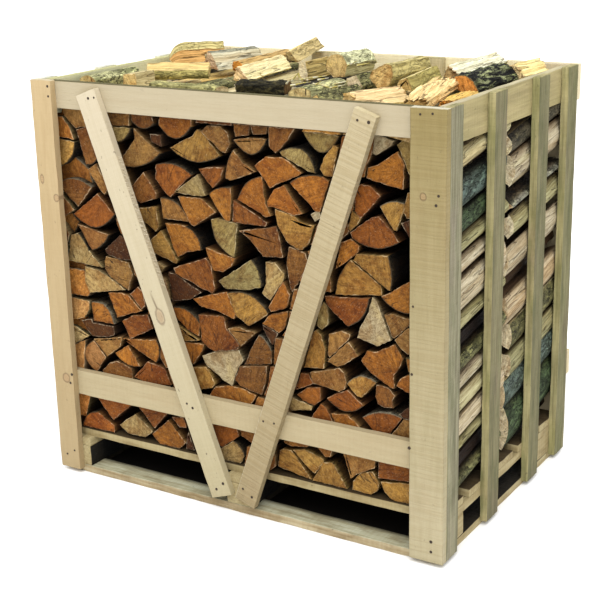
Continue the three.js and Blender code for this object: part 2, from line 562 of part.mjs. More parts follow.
// loose logs on top: the middle of the front end, turn and tilt of the axis in degrees, and
// the cross-section round the axis, written like the log ends
const looseLogs = {
  half_round: { at: [-530, 103, 1120], turn: 52, tilt: 0, length: 157,
    section: [24, [-34, -24], [4, 33], [36, -22]] },
  bark_left: { at: [-438, -123, 1104], turn: 56, tilt: -0.7, length: 169,
    section: [4, [24, -4], [22, -20], [-22, -20], [-26, 18]] },
  striped: { at: [-372, 80, 1110], turn: 10, tilt: -1.2, length: 197,
    section: [0, [-28, -20], [-8, 26], [8, 20], [30, -24]] },
  thin: { at: [-291, 96, 1098], turn: 0, tilt: 0.9, length: 256,
    section: [0, [-16, -14], [-16, 10], [4, 14], [16, 2], [12, -14]] },
  split_wide: { at: [-187, -43, 1096], turn: -5, tilt: 0.7, length: 257,
    section: [0, [-24, -16], [-10, 20], [0, 18], [26, -14], [16, -20]] },
  upright: { at: [-186, 224, 1110], turn: 0, tilt: 9.8, length: 153,
    section: [0, [-22, -14], [-20, 16], [-10, 18], [16, -12]] },
  bark_dark: { at: [29, -146, 1090], turn: -93, tilt: -0.8, length: 143,
    section: [8, [-24, 4], [24, 8], [22, -18], [-22, -18]] },
  blunt: { at: [1, 146, 1106], turn: 2, tilt: -0.7, length: 157,
    section: [10, [-30, 18], [22, 26], [36, 4], [26, -28], [-8, -32], [-36, -10]] },
  block: { at: [217, 7, 1108], turn: 4, tilt: 0, length: 193,
    section: [0, [-40, -8], [-30, 12], [8, 30], [28, 28], [34, 0], [16, -32], [-16, -34]] },
  yellow: { at: [290, -11, 1094], turn: -3, tilt: 2.4, length: 193,
    section: [0, [-20, -14], [-14, 8], [8, 16], [24, -20]] },
  flat_face: { at: [270, -242, 1088], turn: 18, tilt: -0.7, length: 166,
    section: [0, [30, -18], [-28, -18], [-28, 10], [-6, 16]] },
  splintered: { at: [439, -229, 1085], turn: -7, tilt: 5, length: 216,
    section: [0, [-40, -10], [-32, 14], [-8, 8], [6, 18], [22, 6], [24, -14]] },
  bark_thick: { at: [451, -3, 1097], turn: 5, tilt: 1.6, length: 212,
    section: [18, [-34, 20], [40, -10], [28, -32], [-28, -8]] },
  white_split: { at: [373, 99, 1112], turn: 6, tilt: 1.9, length: 244,
    section: [0, [-30, -14], [-16, 18], [22, -6], [14, -26]] },
  wedge: { at: [493, 210, 1104], turn: 13, tilt: 2.2, length: 105,
    section: [0, [-34, -20], [-22, 14], [2, 24], [32, -6], [28, -24]] },
  orange_low: { at: [485, -159, 1080], turn: -5, tilt: 1.2, length: 142,
    section: [4, [-22, 4], [32, 0], [30, -16], [-28, -16]] },
  rim_bark: { at: [-282, -292, 1096], turn: 92, tilt: 0, length: 215,
    section: [6, [-26, 4], [24, 8], [26, -14], [-24, -14]] },
};

function addLooseLog(name, { at, turn, tilt, length, section }) {
  const mesh = new THREE.Mesh(prism(outlineOf(section), 0, length), beech());
  mesh.name = `log_${name}`;
  mesh.rotation.set(THREE.MathUtils.degToRad(tilt), 0, THREE.MathUtils.degToRad(-turn), 'ZYX');
  mesh.position.set(...at);
  object.add(mesh);
}

addFront();
addBrace('brace_front_left', spruce, [-43, 43], [-417, 1087], 66);
addBrace('brace_front_right', sawnPine, [29, 41], [398, 1090], 61);
addSide('left', -1);
addSide('right', 1);
addBack();
addPallet();
addRank('stack_front', frontRank(), frontCorners);
addRank('stack_back', backRank(), backCorners);
for (const [name, log] of Object.entries(looseLogs)) {
  addLooseLog(name, log);
}

export default object;
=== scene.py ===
# A crate of split beech firewood on a pallet base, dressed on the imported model. Metres.
import bpy, json, math, random
import numpy as np
from mathutils import Matrix, Vector


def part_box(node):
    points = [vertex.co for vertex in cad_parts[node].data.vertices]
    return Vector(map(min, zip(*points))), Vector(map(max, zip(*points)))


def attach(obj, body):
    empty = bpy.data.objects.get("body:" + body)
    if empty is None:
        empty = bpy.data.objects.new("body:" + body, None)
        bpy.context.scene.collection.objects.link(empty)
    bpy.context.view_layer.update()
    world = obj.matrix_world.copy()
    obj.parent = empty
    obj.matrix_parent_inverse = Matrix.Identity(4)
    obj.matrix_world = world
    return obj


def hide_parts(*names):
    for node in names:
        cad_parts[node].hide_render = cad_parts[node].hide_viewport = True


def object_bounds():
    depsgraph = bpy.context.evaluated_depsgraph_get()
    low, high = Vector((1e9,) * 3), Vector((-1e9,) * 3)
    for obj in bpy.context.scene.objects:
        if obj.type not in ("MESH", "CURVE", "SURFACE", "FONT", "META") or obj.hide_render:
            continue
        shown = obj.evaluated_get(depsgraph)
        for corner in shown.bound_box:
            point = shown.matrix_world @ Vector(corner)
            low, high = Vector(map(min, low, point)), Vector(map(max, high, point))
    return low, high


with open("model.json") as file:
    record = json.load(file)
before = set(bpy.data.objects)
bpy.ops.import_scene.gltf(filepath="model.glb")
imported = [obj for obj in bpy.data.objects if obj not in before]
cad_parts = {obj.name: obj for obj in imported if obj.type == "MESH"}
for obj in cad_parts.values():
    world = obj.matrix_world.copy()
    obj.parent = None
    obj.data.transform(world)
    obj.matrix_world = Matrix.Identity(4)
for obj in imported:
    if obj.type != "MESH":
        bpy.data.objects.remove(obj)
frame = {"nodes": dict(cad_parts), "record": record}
cadLow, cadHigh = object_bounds()
chance = random.Random(11)
slotOf = {row["node"]: row["material_slot"] for row in frame["record"]["subparts"]}


def takeOnly(piece):
    bpy.ops.object.select_all(action="DESELECT")
    piece.select_set(True)
    bpy.context.view_layer.objects.active = piece


def editMode(kind="FACE"):
    bpy.ops.object.mode_set(mode="EDIT")
    bpy.ops.mesh.select_mode(type=kind)


def objectMode():
    bpy.ops.object.mode_set(mode="OBJECT")


def settle(piece):  # puts the piece's place into its mesh
    takeOnly(piece)
    bpy.ops.object.transform_apply(location=True, rotation=True, scale=True)


def coordsOf(mesh):
    flat = np.empty(len(mesh.vertices) * 3)
    mesh.vertices.foreach_get("co", flat)
    return flat.reshape(-1, 3)


def putCoords(mesh, coords):
    mesh.vertices.foreach_set("co", np.asarray(coords, dtype=float).ravel())
    mesh.update()


def putValues(mesh, name, values):  # a number, colour or vector on each vertex
    values = np.asarray(values, dtype=np.float32)
    kind, field = {1: ("FLOAT", "value"), 3: ("FLOAT_VECTOR", "vector")}[1 if values.ndim == 1 else 3]
    if name in mesh.attributes:
        mesh.attributes.remove(mesh.attributes[name])
    mesh.attributes.new(name, kind, "POINT").data.foreach_set(field, values.ravel())


def getValues(mesh, name):
    values = np.empty(len(mesh.vertices), dtype=np.float32)
    mesh.attributes[name].data.foreach_get("value", values)
    return values


def roughen(piece, grit, strength, kind="CLOUDS", stretch=1.0, group="", direction="RGB_TO_XYZ"):
    # uneven surface from a cloud texture, drawn out along Y by stretch
    texture = bpy.data.textures.new(piece.name + "Grit", kind)
    texture.noise_scale = grit
    if kind == "CLOUDS":
        texture.cloud_type = "COLOR" if direction == "RGB_TO_XYZ" else "GRAYSCALE"
        texture.noise_depth = 2
    takeOnly(piece)
    if stretch != 1:
        editMode()
        bpy.ops.mesh.select_all(action="SELECT")
        bpy.ops.transform.resize(value=(1, 1 / stretch, 1), center_override=(0, 0, 0))
        objectMode()
    push = piece.modifiers.new("grit", "DISPLACE")
    push.texture, push.strength, push.direction = texture, strength, direction
    push.mid_level, push.vertex_group = 0.5, group
    bpy.ops.object.modifier_apply(modifier="grit")
    if stretch != 1:
        editMode()
        bpy.ops.mesh.select_all(action="SELECT")
        bpy.ops.transform.resize(value=(1, stretch, 1), center_override=(0, 0, 0))
        objectMode()
    bpy.data.textures.remove(texture)


def light(red, green, blue):  # picture values 0 to 255 to light values
    return tuple(((v / 255 + 0.055) / 1.055) ** 2.4 if v > 10 else v / 255 / 12.92 for v in (red, green, blue))


def paint(red, green, blue):  # the same for the pieces, which stand in strong light
    return tuple(v * 0.66 for v in light(red, green, blue))


def finishPiece(piece, nodes=()):
    settle(piece)
    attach(piece, "root")
    if nodes:
        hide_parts(*nodes)


# camera, as the photo was taken
view = {"place": (1.8162, -2.9696, 1.573), "turn": 32.0246, "lift": 17.4378, "roll": -1.363, "lens": 78.9}
turn, lift, roll = (math.radians(view[k]) for k in ("turn", "lift", "roll"))
back = Vector((math.sin(turn) * math.cos(lift), -math.cos(turn) * math.cos(lift), math.sin(lift)))
right = (-back).cross(Vector((0, 0, 1))).normalized()
up = back.cross(right)
tiltedRight = right * math.cos(roll) + up * math.sin(roll)
tiltedUp = up * math.cos(roll) - right * math.sin(roll)
bpy.ops.object.camera_add(location=view["place"])
camera = bpy.context.object
camera.rotation_euler = Matrix((tiltedRight, tiltedUp, back)).transposed().to_euler()
camera.data.lens, camera.data.sensor_width = view["lens"], 36
bpy.context.scene.camera = camera
print("camera placed")


# shader building
class Finish:
    def __init__(self, name):
        self.material = bpy.data.materials.new(name)
        self.material.use_nodes = True
        self.tree = self.material.node_tree
        self.surface = self.tree.nodes["Principled BSDF"]

    def node(self, kind, **settings):
        made = self.tree.nodes.new("ShaderNode" + kind)
        for key, value in settings.items():
            setattr(made, key, value)
        return made

    def feed(self, socket, value):
        if isinstance(value, bpy.types.NodeSocket):
            self.tree.links.new(value, socket)
        elif isinstance(value, tuple) and len(value) == 3 and socket.type == "RGBA":
            socket.default_value = (*value, 1)
        else:
            socket.default_value = value

    def calc(self, operation, first, second=0.0, clamp=False):
        made = self.node("Math", operation=operation, use_clamp=clamp)
        self.feed(made.inputs[0], first)
        self.feed(made.inputs[1], second)
        return made.outputs[0]

    def vector(self, operation, first, second=(0.0, 0.0, 0.0)):
        made = self.node("VectorMath", operation=operation)
        self.feed(made.inputs[0], first)
        self.feed(made.inputs[1], second)
        return made.outputs["Value"] if operation in ("LENGTH", "DISTANCE") else made.outputs[0]

    def stored(self, name, out="Vector"):
        return self.node("Attribute", attribute_name=name).outputs[out]

    def parts(self, vector):
        return self.tree_outputs("SeparateXYZ", vector)

    def tree_outputs(self, kind, value):
        made = self.node(kind)
        self.feed(made.inputs[0], value)
        return made.outputs

    def join(self, x, y, z=0.0):
        made = self.node("CombineXYZ")
        for socket, value in zip(made.inputs, (x, y, z)):
            self.feed(socket, value)
        return made.outputs[0]

    def noise(self, vector, scale=1.0, detail=3.0, rough=0.55, warp=0.0):
        made = self.node("TexNoise")
        self.feed(made.inputs["Vector"], vector)
        for key, value in {"Scale": scale, "Detail": detail, "Roughness": rough, "Distortion": warp}.items():
            self.feed(made.inputs[key], value)
        return made.outputs["Fac"]

    def ease(self, value, low, high, start=0.0, end=1.0):  # smooth step from low to high
        made = self.node("MapRange", interpolation_type="SMOOTHSTEP")
        for key, number in zip(("Value", "From Min", "From Max", "To Min", "To Max"), (value, low, high, start, end)):
            self.feed(made.inputs[key], number)
        return made.outputs[0]

    def mix(self, amount, first, second, blend="MIX"):
        made = self.node("Mix", data_type="RGBA", blend_type=blend)
        self.feed(made.inputs[0], amount)
        self.feed(made.inputs[6], first)
        self.feed(made.inputs[7], second)
        return made.outputs[2]

    def bumps(self, *layers):  # pairs of height and depth in metres
        normal = None
        for height, depth in layers:
            made = self.node("Bump")
            self.feed(made.inputs["Height"], height)
            made.inputs["Distance"].default_value = depth
            if normal is not None:
                self.feed(made.inputs["Normal"], normal)
            normal = made.outputs[0]
        self.feed(self.surface.inputs["Normal"], normal)


def boardFinish(name, look):
    made = Finish(name)
    grain = made.stored("grain")
    tone = made.stored("tone", "Color")
    along, across, through = made.parts(grain)[:]
    ribs, weather, specks = made.parts(made.stored("marks"))[:]

    knotMask, knotRing, knotTail = 0.0, 0.0, 0.0
    for place in ("knotA", "knotB", "knotC"):
        offset = made.stored(place)
        knotAlong, knotAcross, tail = made.parts(offset)[:]
        wobble = made.noise(made.vector("SCALE", grain), 90.0, 2.0)
        reach = made.vector("LENGTH", made.join(knotAlong, knotAcross))
        reach = made.calc("ADD", reach, made.calc("MULTIPLY", made.calc("SUBTRACT", wobble, 0.5), 0.45))
        ring = made.calc("MULTIPLY", made.ease(reach, 0.72, 0.92), made.ease(reach, 1.0, 1.25, 1.0, 0.0))
        knotRing = made.calc("ADD", knotRing, ring, True)
        knotMask = made.calc("ADD", knotMask, made.ease(reach, 0.7, 0.95, 1.0, 0.0), True)
        streak = made.ease(made.calc("ABSOLUTE", made.calc("SUBTRACT", knotAcross, made.calc("MULTIPLY", knotAlong, -0.12))),
                           0.05, 0.38, 1.0, 0.0)
        reachAlong = made.calc("MULTIPLY", made.ease(knotAlong, 0.9, 1.2), made.ease(knotAlong, 1.5, 3.8, 1.0, 0.0))
        knotTail = made.calc("ADD", knotTail, made.calc("MULTIPLY", made.calc("MULTIPLY", streak, reachAlong), tail), True)
        bend = made.calc("MULTIPLY", made.ease(reach, 0.6, 3.2, 1.0, 0.0), 0.006)
        across = made.calc("ADD", across, made.calc("MULTIPLY", bend, made.calc("SIGN", knotAcross)))

    flow = made.join(made.calc("MULTIPLY", along, 1.6), made.calc("MULTIPLY", across, 22.0), made.calc("MULTIPLY", through, 22.0))
    drift = made.noise(flow, 0.35, 2.0)
    streaks = made.noise(flow, 4.2, 4.0, 0.62)
    fibre = made.noise(flow, 26.0, 3.0, 0.6)
    ringReach = made.vector("LENGTH", made.join(0.0, across, made.calc("ADD", through, 0.035)))
    ringReach = made.calc("ADD", ringReach, made.calc("MULTIPLY", made.calc("SUBTRACT", drift, 0.5), look["ringDrift"]))
    rings = made.calc("SINE", made.calc("MULTIPLY", ringReach, 2 * math.pi / look["ringGap"]))
    rings = made.ease(rings, -0.2, 1.0)

    darker = made.mix(1.0, tone, look["shade"], "MULTIPLY")
    lighter = made.mix(1.0, tone, look["shine"], "MULTIPLY")
    amount = made.calc("ADD", made.calc("MULTIPLY", made.ease(streaks, 0.3, 0.7), 0.7), made.calc("MULTIPLY", made.ease(drift, 0.3, 0.7), 0.3))
    amount = made.calc("SUBTRACT", amount, made.calc("MULTIPLY", rings, look["rings"]), True)
    colour = made.mix(amount, darker, lighter)
    colour = made.mix(made.calc("ADD", made.calc("MULTIPLY", weather, 0.9), 0.3, True), tone, colour)

    # saw ribs run across the board
    sawing = made.noise(made.join(made.calc("MULTIPLY", along, 150.0), made.calc("MULTIPLY", across, 5.0), made.calc("MULTIPLY", through, 5.0)), 1.0, 2.0)
    rib = made.ease(sawing, 0.4, 0.62)
    colour = made.mix(made.calc("MULTIPLY", rib, ribs), colour, look["ribColour"], "MULTIPLY")

    # greying, green tints and mauve patches
    cloud = made.noise(made.join(made.calc("MULTIPLY", along, 7.0), made.calc("MULTIPLY", across, 26.0), made.calc("MULTIPLY", through, 26.0)), 1.0, 4.0, 0.62)
    other = made.noise(made.join(made.calc("MULTIPLY", along, 4.0), made.calc("MULTIPLY", across, 17.0), made.calc("ADD", through, 4.0)), 1.0, 3.0)
    colour = made.mix(made.calc("MULTIPLY", made.ease(cloud, 0.42, 0.66), weather), colour, look["stain"], "MULTIPLY")
    colour = made.mix(made.calc("MULTIPLY", made.ease(other, 0.5, 0.72), weather), colour, look["tint"], "MULTIPLY")
    dots = made.noise(made.join(made.calc("MULTIPLY", along, 60.0), made.calc("MULTIPLY", across, 95.0), made.calc("MULTIPLY", through, 95.0)), 1.0, 2.0)
    colour = made.mix(made.calc("MULTIPLY", made.ease(dots, 0.68, 0.76), specks), colour, paint(70, 60, 48))

    heart = made.calc("SINE", made.calc("MULTIPLY", made.vector("LENGTH", made.stored("knotA")), 16.0))
    knotColour = made.mix(made.ease(heart, -1.0, 1.0), paint(176, 132, 92), paint(200, 164, 124))
    colour = made.mix(made.calc("MULTIPLY", knotMask, 0.45), colour, knotColour)
    colour = made.mix(made.calc("MULTIPLY", knotRing, 0.5), colour, paint(120, 92, 66))
    colour = made.mix(made.calc("MULTIPLY", knotTail, 0.7), colour, paint(120, 98, 74))
    if "paintedInsideShade" in look:  # painted shade: darker towards the inside of the pallet
        x, y, z = made.parts(made.node("TexCoord").outputs["Object"])[:]
        reach = made.calc("MINIMUM", made.calc("SUBTRACT", 0.58, made.calc("ABSOLUTE", x)), made.calc("ADD", y, 0.372))
        reach = made.calc("MINIMUM", reach, made.calc("SUBTRACT", 0.372, y))
        colour = made.mix(made.ease(reach, look["paintedInsideShade"][0], look["paintedInsideShade"][1], 0.0, 0.93), colour, (0.0, 0.0, 0.0))
    made.feed(made.surface.inputs["Base Color"], colour)
    made.feed(made.surface.inputs["Roughness"], made.ease(fibre, 0.2, 0.8, look["gloss"], 0.9))
    made.surface.inputs["Specular IOR Level"].default_value = 0.25
    made.bumps((streaks, 0.0012), (fibre, 0.0008), (made.calc("MULTIPLY", rib, ribs), 0.0012), (knotRing, -0.001))
    return made.material


boardLooks = {
    "spruce": {"shade": (0.90, 0.87, 0.80), "shine": (1.04, 1.03, 1.02), "rings": 0.15, "ringGap": 0.007, "ringDrift": 0.02,
               "ribColour": (0.86, 0.82, 0.74), "stain": (0.84, 0.80, 0.74), "tint": (0.95, 0.88, 0.82), "gloss": 0.62},
    "sawn_pine": {"shade": (0.90, 0.87, 0.80), "shine": (1.04, 1.03, 1.0), "rings": 0.1, "ringGap": 0.008, "ringDrift": 0.03,
                  "ribColour": (0.84, 0.80, 0.72), "stain": (0.86, 0.86, 0.80), "tint": (0.97, 0.92, 0.92), "gloss": 0.66},
    "weathered_slat": {"shade": (0.56, 0.56, 0.48), "shine": (1.3, 1.3, 1.26), "rings": 0.2, "ringGap": 0.009, "ringDrift": 0.03,
                       "ribColour": (0.8, 0.78, 0.7), "stain": (0.56, 0.64, 0.50), "tint": (0.92, 0.80, 1.0), "gloss": 0.7},
    # pallet wood carries a painted shade towards the inside of the pallet: where it starts and where it is full
    "pallet_wood": {"shade": (0.76, 0.70, 0.58), "shine": (1.06, 1.05, 1.0), "rings": 0.35, "ringGap": 0.008, "ringDrift": 0.03,
                    "ribColour": (0.78, 0.72, 0.6), "stain": (0.55, 0.48, 0.38), "tint": (0.82, 0.78, 0.7), "gloss": 0.7, "paintedInsideShade": (0.024, 0.048)},
}
boardFinishes = {slot: boardFinish(slot, look) for slot, look in boardLooks.items()}

# tone, saw ribs, weathering, specks, edge roughness, distance between the cuts along the edges
boardDefaults = {
    "spruce": {"tone": (228, 215, 188), "ribs": 0.1, "weather": 0.15, "specks": 0.1, "rough": 0.0016, "cut": 0.03, "edge": (240, 226, 190)},
    "sawn_pine": {"tone": (204, 186, 142), "ribs": 0.5, "weather": 0.3, "specks": 0.2, "rough": 0.0018, "cut": 0.03, "edge": (238, 224, 184)},
    "weathered_slat": {"tone": (164, 158, 130), "ribs": 0.2, "weather": 0.6, "specks": 0.35, "rough": 0.0024, "cut": 0.03, "edge": (204, 192, 142)},
    "pallet_wood": {"tone": (208, 194, 152), "ribs": 0.3, "weather": 0.6, "specks": 0.4, "rough": 0.003, "cut": 0.04, "edge": (220, 208, 168)},
}
# knots: place across and along the face, half width, half length, tail
boardSpecials = {
    "post_front_left": {"tone": (222, 196, 150), "toneLow": (196, 174, 132), "weather": 0.3, "specks": 0.3, "rough": 0.0028,
                        "knots": [(-0.557, 0.285, 0.012, 0.013, 0), (-0.541, 0.799, 0.009, 0.010, 0), (-0.585, 0.846, 0.006, 0.012, 0)]},
    "post_front_right": {"tone": (170, 152, 100), "toneLow": (208, 196, 162), "ribs": 0.4, "weather": 0.4, "knots": [(0.543, 0.912, 0.008, 0.009, 0)],
                         "edge": (244, 238, 214)},
    "brace_front_left": {"tone": (234, 220, 190), "toneLow": (206, 194, 156), "rough": 0.002, "specks": 0.6, "weather": 0.15,
                         "knots": [(-0.215, 0.517, 0.0135, 0.0215, 1)]},
    # the right brace carries a painted highlight along its left edge
    "brace_front_right": {"tone": (214, 198, 160), "toneLow": (184, 166, 128), "ribs": 0.6, "weather": 0.2, "leftEdgeHighlight": (244, 232, 204)},
    "rail_front_top": {"tone": (212, 198, 166), "ribs": 0.05, "rough": 0.0009, "top": (112, 104, 62)},
    "rail_front_low": {"tone": (206, 190, 152), "ribs": 0.15, "rough": 0.002, "weather": 0.25},
    "rail_right_top": {"tone": (198, 182, 132), "weather": 0.2, "top": (226, 214, 176)},
    "rail_left_top": {"tone": (255, 252, 210), "weather": 0.05, "top": (226, 222, 164)},
    # the back rail's face towards the load carries painted light
    "rail_back_top": {"tone": (255, 240, 200), "inner": (292, 280, 234), "weather": 0.1, "ribs": 0.2}, "rail_back_low": {"tone": (240, 224, 184), "weather": 0.2},
    "slat_back_1": {"tone": (232, 214, 170), "weather": 0.2}, "slat_back_2": {"tone": (232, 214, 170), "weather": 0.2},
    "post_back_left": {"tone": (240, 224, 184), "weather": 0.2}, "post_back_right": {"tone": (240, 224, 184), "weather": 0.2},
    "slat_right_2": {"tone": (146, 138, 104)}, "slat_right_3": {"tone": (144, 138, 102)}, "slat_right_4": {"tone": (144, 138, 100)},
    **{f"slat_left_{n}": {"tone": (250, 248, 220), "edge": (255, 254, 240), "weather": 0.05} for n in (1, 2, 3, 4)},
    "foot_front": {"tone": (214, 200, 168), "weather": 0.8, "top": (226, 228, 204)},
    # painted shade on the inner faces of the pallet blocks
    **{f"block_{end}_{side}": {"sides": (34, 30, 22)} for end in ("front", "back") for side in ("left", "middle", "right")},
    # painted shade on the tops of the deck boards and the side foot boards
    **{f"deck_{n}": {"top": (84, 70, 46)} for n in (1, 2, 3, 4, 5)}, "foot_left": {"top": (40, 35, 26)}, "foot_right": {"top": (40, 35, 26)},
}
braces = {
    "brace_front_left": {"foot": (-0.043, 0.043), "head": (-0.417, 1.087), "width": 0.066},
    "brace_front_right": {"foot": (0.029, 0.041), "head": (0.398, 1.090), "width": 0.061},
}


def boardFrame(node):  # middle, size and the three directions: across, through, along
    low, high = (Vector(corner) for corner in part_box(node))
    middle = (low + high) / 2
    if node in braces:
        brace = braces[node]
        run = Vector((brace["head"][0] - brace["foot"][0], 0, brace["head"][1] - brace["foot"][1]))
        along = run.normalized()
        through = Vector((0, 1, 0))
        return middle, (brace["width"], high.y - low.y, run.length), (through.cross(along), through, along)
    sizes = high - low
    order = sorted(range(3), key=lambda axis: sizes[axis])
    axes = [Vector([float(axis == k) for k in range(3)]) for axis in order]
    if axes[1].cross(axes[0]).dot(axes[2]) < 0:
        axes[0] = -axes[0]
    return middle, (sizes[order[1]], sizes[order[0]], sizes[order[2]]), (axes[1], axes[0], axes[2])


def makeBoard(node):
    slot = slotOf[node]
    look = {**boardDefaults[slot], **boardSpecials.get(node, {})}
    middle, sizes, axes = boardFrame(node)
    bpy.ops.object.select_all(action="DESELECT")
    bpy.ops.mesh.primitive_cube_add(size=1, location=(0, 0, 0))
    piece = bpy.context.object
    piece.name = node + "_board"
    piece.scale = sizes
    settle(piece)
    # cuts along the length give the edges something to waver on
    for edge in piece.data.edges:
        ends = [piece.data.vertices[k].co for k in edge.vertices]
        edge.select = abs(ends[0].z - ends[1].z) > 0.9 * sizes[2]
    editMode("EDGE")
    bpy.ops.mesh.subdivide(number_cuts=max(2, round(sizes[2] / look["cut"])))
    bpy.ops.mesh.select_all(action="DESELECT")
    bpy.ops.mesh.edges_select_sharp(sharpness=math.radians(40))
    bpy.ops.mesh.bevel(offset=0.0016, segments=2, affect="EDGES")
    bpy.ops.mesh.select_all(action="SELECT")
    bpy.ops.mesh.normals_make_consistent(inside=False)
    objectMode()
    mesh = piece.data
    local = coordsOf(mesh)
    shift = np.array([chance.uniform(-20, 20), chance.uniform(-0.03, 0.03), chance.uniform(-0.03, 0.01)])
    putValues(mesh, "grain", local[:, [2, 0, 1]] + shift)
    share = np.clip(0.5 - local[:, 2:3] / sizes[2], 0, 1)
    tone = np.array(paint(*look["tone"])) * (1 - share) + np.array(paint(*look.get("toneLow", look["tone"]))) * share
    # the upper ends, and the narrow front faces of the right slats, get a paler tone; on the front faces of the right
    # slats this is a painted highlight
    if axes[2].z > 0.9:
        toFront = local[:, 0] * axes[0].y + local[:, 1] * axes[1].y
        paleEndsAndHighlight = (local[:, 2] > sizes[2] / 2 - 0.001) | (toFront < toFront.min() + 0.001 if node.startswith("slat_right") else False)
        tone[paleEndsAndHighlight] = paint(*look["edge"])
    if "leftEdgeHighlight" in look:  # painted highlight: a bright strip along the left edge
        tone[local[:, 0] * axes[0].x < -sizes[0] / 2 + 0.003] = paint(*look["leftEdgeHighlight"])
    # the upper face gets a tone of its own; on the deck boards and the side foot boards this is a painted shade
    if "top" in look:
        tone[local[:, 0] * axes[0].z + local[:, 1] * axes[1].z > (sizes[0] if abs(axes[0].z) > 0.5 else sizes[1]) / 2 - 0.001] = paint(*look["top"])
    if "sides" in look:  # painted shade on the faces towards the inside of the pallet
        inward = local[:, 0] * axes[0].x
        inward = inward if middle.x < -0.1 else -inward if middle.x > 0.1 else abs(inward)
        tone[inward > sizes[0] / 2 - 0.001] = paint(*look["sides"])
        tone[local[:, 2] * axes[2].y * (1 if middle.y < 0 else -1) > sizes[2] / 2 - 0.001] = paint(*look["sides"])
    if "inner" in look:  # painted light: the face towards the load is lifted above the wood's tone, as it stands in shade
        tone[local[:, 1] * axes[1].y < -sizes[1] / 2 + 0.001] = paint(*look["inner"])
    putValues(mesh, "tone", tone)
    putValues(mesh, "marks", np.tile((look["ribs"], look["weather"], look["specks"]), (len(local), 1)))
    knots = look.get("knots", [])
    for number, name in enumerate(("knotA", "knotB", "knotC")):
        offsets = np.full((len(local), 3), 40.0)
        if number < len(knots):
            x, z, halfWidth, halfLength, tail = knots[number]
            place = Vector((x, middle.y, z)) - middle
            across, along = place.dot(axes[0]), place.dot(axes[2])
            offsets = np.stack([(local[:, 2] - along) / halfLength, (local[:, 0] - across) / halfWidth,
                                np.full(len(local), float(tail))], axis=1)
        putValues(mesh, name, offsets)
    roughen(piece, 0.07, look["rough"])
    roughen(piece, 0.012, look["rough"] * 0.5)
    piece.matrix_world = Matrix.Translation(middle) @ Matrix(axes).transposed().to_4x4()
    mesh.materials.clear()
    mesh.materials.append(boardFinishes[slot])
    bpy.ops.object.shade_smooth_by_angle(angle=math.radians(35))
    finishPiece(piece, [node])


boardNodes = [node for node in frame["nodes"] if slotOf[node] != "beech"]
for node in boardNodes:
    makeBoard(node)
print("boards made:", len(boardNodes))

# nail heads on the front: place across and up, on the face of the board that holds them
nails = {"radius": 0.0034, "proud": 0.0008, "places": [
    (-541, 1095), (-541, 1069), (-536, 299), (-543, 273), (-548, 68), (-576, 52), (-406, 1072), (-387, 1075),
    (-142, 288), (-124, 279), (-37, 82), (-59, 61), (378, 1071), (407, 1068), (97, 286), (129, 286), (26, 82), (53, 64),
    (535, 1095), (565, 1098), (581, 917), (575, 895), (519, 653), (516, 487), (510, 300), (569, 68), (569, 41)]}


def makeNails():
    first = None
    for x, z in nails["places"]:
        bpy.ops.object.select_all(action="DESELECT")
        bpy.ops.mesh.primitive_cylinder_add(vertices=14, radius=nails["radius"] * chance.uniform(0.8, 1.25), depth=0.003,
                                            rotation=(math.pi / 2, 0, 0), location=(x / 1000, cadLow.y + 0.0015 - nails["proud"], z / 1000))
        editMode("EDGE")
        bpy.ops.mesh.select_all(action="SELECT")
        bpy.ops.mesh.bevel(offset=0.0006, segments=2, affect="EDGES")
        objectMode()
        if first is None:
            first = bpy.context.object
            first.name = "nails"
        else:
            made = bpy.context.object
            takeOnly(first)
            made.select_set(True)
            bpy.ops.object.join()
    rust = Finish("nailSteel")
    spots = rust.noise(rust.node("TexCoord").outputs["Object"], 900.0, 3.0)
    rust.feed(rust.surface.inputs["Base Color"], rust.mix(rust.ease(spots, 0.35, 0.65), paint(52, 46, 42), paint(96, 78, 62)))
    rust.feed(rust.surface.inputs["Roughness"], rust.ease(spots, 0.3, 0.7, 0.45, 0.8))
    rust.surface.inputs["Metallic"].default_value = 0.6
    first.data.materials.clear()
    first.data.materials.append(rust.material)
    bpy.ops.object.shade_smooth_by_angle(angle=math.radians(35))
    finishPiece(first)


makeNails()
print("nails made")

# torn fibres along the right edge of the left brace: heights on the edge, how many, reach and colour
fringe = {"from": (-0.2085, 0.60), "to": (-0.3265, 0.93), "count": 90, "reach": (0.004, 0.013), "thick": 0.0013, "tone": (246, 234, 206)}


def makeSliver(root, tip, thick, first, name):
    # a thin four-sided sliver from root to tip, joined to the first one
    bpy.ops.object.select_all(action="DESELECT")
    run = tip - root
    bpy.ops.mesh.primitive_cone_add(vertices=4, radius1=thick, radius2=thick * 0.2, depth=run.length, location=(root + tip) / 2,
                                    rotation=run.to_track_quat("Z", "Y").to_euler())
    piece = bpy.context.object
    if first is None:
        piece.name = name
        return piece
    takeOnly(first)
    piece.select_set(True)
    bpy.ops.object.join()
    return first


def makeFringe():
    low, high = Vector((fringe["from"][0], 0, fringe["from"][1])), Vector((fringe["to"][0], 0, fringe["to"][1]))
    along = (high - low).normalized()
    aside = Vector((along.z, 0, -along.x))
    piece = None
    for number in range(fringe["count"]):
        root = low.lerp(high, (number + chance.random()) / fringe["count"])
        root.y = cadLow.y + chance.uniform(0.001, 0.009)
        tip = root + aside * chance.uniform(*fringe["reach"]) - along * chance.uniform(0.001, 0.009)
        piece = makeSliver(root - aside * 0.002, tip, fringe["thick"], piece, "fringe")
    fibre = Finish("tornFibre")
    spots = fibre.noise(fibre.node("TexCoord").outputs["Object"], 300.0, 2.0)
    fibre.feed(fibre.surface.inputs["Base Color"], fibre.mix(fibre.ease(spots, 0.3, 0.7), paint(214, 196, 158), paint(*fringe["tone"])))
    fibre.surface.inputs["Roughness"].default_value = 0.8
    piece.data.materials.clear()
    piece.data.materials.append(fibre.material)
    finishPiece(piece)


makeFringe()
print("fringe made")


